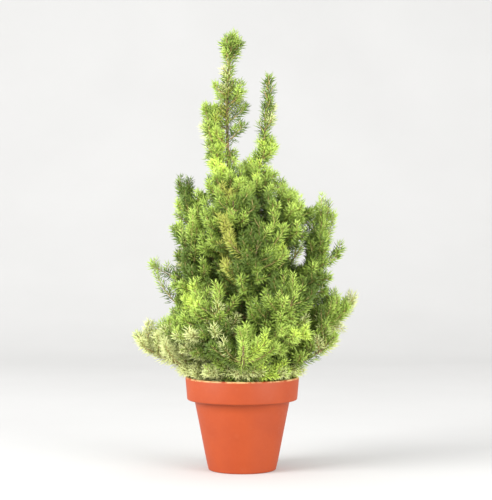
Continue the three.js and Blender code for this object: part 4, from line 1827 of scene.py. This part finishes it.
@dataclass
class Needles:
    """The needles, joined into pieces by their tone."""

    twigs: list[Twig]
    masses: list[Bough]
    tones: ToneRule
    spaces: Spaces
    length: float = 9.6
    width: float = 1.08
    per_mm: float = 2.2
    least_count: int = 9
    varies: float = 0.2
    shorten: float = 0.3
    fine_length: float = 0.88
    aside: tuple[float, float, float] = (0.23, -0.41, 0.88)
    turn_varies: float = 0.35
    lean_foot: float = 20
    lean_tip: float = 50
    lean_power: int = 3
    lean_varies: float = 11
    bow: float = 0.16
    fullest: float = 0.4
    sink: float = 0.3
    clearance: float = 0.4
    new_from: float = 0.45
    new_varies: float = 0.2
    limit: int = 33000
    seed: int = 8117
    pieces: list[tuple[Tone, bpy.types.Object]] = field(default_factory=list)

    SIDES = 3
    FACES = np.array(((0, 2, 1), (0, 3, 2), (0, 1, 3), (1, 2, 4), (2, 3, 4), (3, 1, 4)))

    def on_twig(self, twig: Twig, random: np.random.Generator) -> tuple[np.ndarray, ...]:
        """Set the needles of one twig, round it by the golden angle and leaning to its tip.

        Args:
            twig: The twig.
            random: The numbers that vary them.

        Returns:
            Their roots, their ways, the twig's way at each, their lengths and their shares of the twig.
        """
        count = max(self.least_count, int(twig.course.length() * (1 - twig.bare) * self.per_mm))
        places = (np.arange(count) + random.uniform(0, 1, count)) / count
        shares = twig.bare + (1 - twig.bare) * places
        middles, along = twig.course.points(shares), twig.course.headings(shares)
        across = unit(np.cross(along, np.array(self.aside)))
        over = np.cross(along, across)
        turns = np.arange(count) * GOLDEN_ANGLE
        turns = turns + random.uniform(-self.turn_varies, self.turn_varies, count)
        out = across * np.cos(turns)[:, None] + over * np.sin(turns)[:, None]
        lean = lerp(self.lean_foot, self.lean_tip, places**self.lean_power)
        lean = np.radians(lean + random.uniform(-self.lean_varies, self.lean_varies, count))
        ways = unit(out * np.cos(lean)[:, None] + along * np.sin(lean)[:, None])
        radii = lerp(twig.foot_radius, twig.tip_radius, shares) * (1 - self.sink)
        longest = self.length * (1.0 if twig.order < 2 else self.fine_length)
        varied = random.uniform(1 - self.varies, 1 + self.varies, count)
        lengths = longest * (1 - self.shorten * places) * varied
        return middles + out * radii[:, None], ways, along, lengths, places

    def shapes(
        self, roots: np.ndarray, ways: np.ndarray, along: np.ndarray, lengths: np.ndarray
    ) -> np.ndarray:
        """Shape needles: three-sided, fullest near the middle, bowed and pointed.

        Args:
            roots: Where they stand.
            ways: The ways they point.
            along: The ways they bow to.
            lengths: Their lengths.

        Returns:
            Five corners for each needle: its root, a ring of three, and its point.
        """
        bow = unit(along - ways * (along * ways).sum(1, keepdims=True)) * lengths[:, None] * self.bow
        side = unit(np.cross(ways, bow))
        back = np.cross(ways, side)
        angles = np.arange(self.SIDES) / self.SIDES * 2 * math.pi
        ring = side[:, None] * np.cos(angles)[:, None] + back[:, None] * np.sin(angles)[:, None]
        reach = ways * lengths[:, None]
        middle = (roots + reach * self.fullest)[:, None] + ring * self.width / 2
        tip = (roots + reach + bow)[:, None]
        return np.concatenate([roots[:, None], middle, tip], axis=1)

    def build(self) -> None:
        """Set every needle, drop those that would touch the pot, and join them by tone."""
        random = np.random.default_rng(self.seed)
        shapes: dict[Tone, list[np.ndarray]] = {tone: [] for tone in Tone}
        for index, twig in enumerate(self.twigs):
            foot_tone, tip_tone = self.tones.tones(twig, Stream(self.seed + index))
            roots, ways, along, lengths, places = self.on_twig(twig, random)
            needles = self.shapes(roots, ways, along, lengths)
            clear = self.spaces.clear_of_pot(needles[:, -1], self.clearance)
            clear &= self.spaces.clear_of_pot(roots, self.clearance)
            new = places + random.uniform(-self.new_varies, self.new_varies, len(places)) > self.new_from
            shapes[tip_tone].append(needles[clear & new])
            shapes[foot_tone].append(needles[clear & ~new])
        for tone, batches in shapes.items():
            self.join(tone, np.concatenate(batches))

    def join(self, tone: Tone, needles: np.ndarray) -> None:
        """Join the needles of one tone into as few pieces as the limit allows.

        Args:
            tone: The tone.
            needles: The corners of each needle.
        """
        for part, batch in enumerate(np.array_split(needles, math.ceil(len(needles) / self.limit))):
            offsets = (np.arange(len(batch)) * batch.shape[1])[:, None, None]
            faces = (self.FACES[None] + offsets).reshape(-1, 3)
            piece = Bench.from_arrays(f"{tone.piece_name}_{part + 1}", batch.reshape(-1, 3), faces)
            self.pieces.append((tone, piece))

    def dress(self) -> None:
        """Give every piece its tone's finish and put it in the frame."""
        finishes = {tone: NeedleFinish(tone).material() for tone in Tone}
        for tone, piece in self.pieces:
            piece.data.materials.append(finishes[tone])
            hand_over(piece, [f"{bough.name}_needles" for bough in self.masses])


# The studio


@dataclass(frozen=True)
class Lamp:
    """One soft square lamp: where it hangs, the length of its side and its power."""

    name: str
    place: tuple[float, float, float]
    size: float
    power: float


@dataclass
class Studio:
    """A plain pale sweep, soft light and a camera at the photograph's viewing angle."""

    target: Vector = field(default_factory=lambda: Vector((0.004, 0.0, 0.2318)))
    distance: float = 1.6
    eye_height: float = 0.255
    frame_height: float = 0.528
    sensor: float = 36.0
    clip_start: float = 0.05
    floor_size: float = 5.0
    sweep_radius: float = 1.2
    sweep_segments: int = 24
    lamps: tuple[Lamp, ...] = (
        Lamp("key", (-1.70, -1.02, 0.95), 1.1, 66.0),
        Lamp("fill", (1.4, -1.2, 0.6), 1.2, 35.0),
    )
    sky: tuple[float, float, float, float] = (1.0, 0.99, 0.975, 1.0)
    sky_strength: float = 1.25

    def camera(self) -> None:
        """Set up the camera in front of the plant, level with its middle."""
        data = bpy.data.cameras.new("camera")
        data.sensor_fit = "VERTICAL"
        data.sensor_height = self.sensor
        data.lens = self.sensor * self.distance / self.frame_height
        data.clip_start = self.clip_start
        eye = bpy.data.objects.new("camera", data)
        eye.location = (self.target.x, -self.distance, self.eye_height)
        eye.rotation_euler = (self.target - eye.location).to_track_quat("-Z", "Y").to_euler()
        bpy.context.scene.collection.objects.link(eye)
        bpy.context.scene.camera = eye

    def hang(self, lamp: Lamp) -> None:
        """Hang one lamp that faces the plant.

        Args:
            lamp: The lamp.
        """
        data = bpy.data.lights.new(lamp.name, "AREA")
        data.size = lamp.size
        data.energy = lamp.power
        thing = bpy.data.objects.new(lamp.name, data)
        thing.location = lamp.place
        thing.rotation_euler = (self.target - thing.location).to_track_quat("-Z", "Y").to_euler()
        bpy.context.scene.collection.objects.link(thing)

    def floor(self) -> None:
        """Lay the floor and sweep it up into a backdrop."""
        Bench.clear()
        bpy.ops.mesh.primitive_plane_add(size=self.floor_size)
        sweep = bpy.context.object
        bpy.ops.object.mode_set(mode="EDIT")
        bpy.ops.mesh.select_all(action="DESELECT")
        bpy.ops.object.mode_set(mode="OBJECT")
        back = self.floor_size / 2
        for edge in sweep.data.edges:
            edge.select = all(sweep.data.vertices[i].co.y > 0 for i in edge.vertices)
        bpy.ops.object.mode_set(mode="EDIT")
        bpy.ops.mesh.extrude_region_move(TRANSFORM_OT_translate={"value": (0, 0, back)})
        bpy.ops.object.mode_set(mode="OBJECT")
        Bench.modify(
            sweep, "BEVEL", width=self.sweep_radius, segments=self.sweep_segments, affect="EDGES"
        )
        sweep = Bench.placed(sweep, "sweep")
        Bench.smooth(sweep, degrees=40)
        sweep.data.materials.append(StageFinish().material())

    def build(self) -> None:
        """Set up camera, floor, lamps and sky."""
        self.camera()
        self.floor()
        for lamp in self.lamps:
            self.hang(lamp)
        world = bpy.data.worlds.new("studio")
        world.use_nodes = True
        sky = world.node_tree.nodes["Background"]
        sky.inputs["Color"].default_value = self.sky
        sky.inputs["Strength"].default_value = self.sky_strength
        scene = bpy.context.scene
        scene.world = world
        scene.view_settings.view_transform = "Standard"
        scene.view_settings.look = "None"


# The whole


def main() -> None:
    """Build and dress every sub-assembly in the frame, and set up the studio."""
    logging.basicConfig(level=logging.INFO, format="%(message)s")
    plan, pot_sizes, outline = TreePlan(), PotSizes(), Outline()
    boughs = [outline.fitted(bough) for bough in plan.boughs()]
    leader = outline.fitted(plan.leader())
    masses = [*boughs, leader]
    spaces = Spaces(masses, pot_sizes, plan)
    twigs = Growth(plan, masses, spaces, outline).grow()
    assemblies = (
        Pot(pot_sizes),
        PottingMix(pot_sizes, plan),
        Wood(plan, boughs, leader),
        Twigs(twigs, masses),
        Needles(twigs, masses, ToneRule(outline), spaces),
    )
    for assembly in assemblies:
        assembly.build()
        assembly.dress()
    Studio().build()


if __name__ == "__main__":
    main()
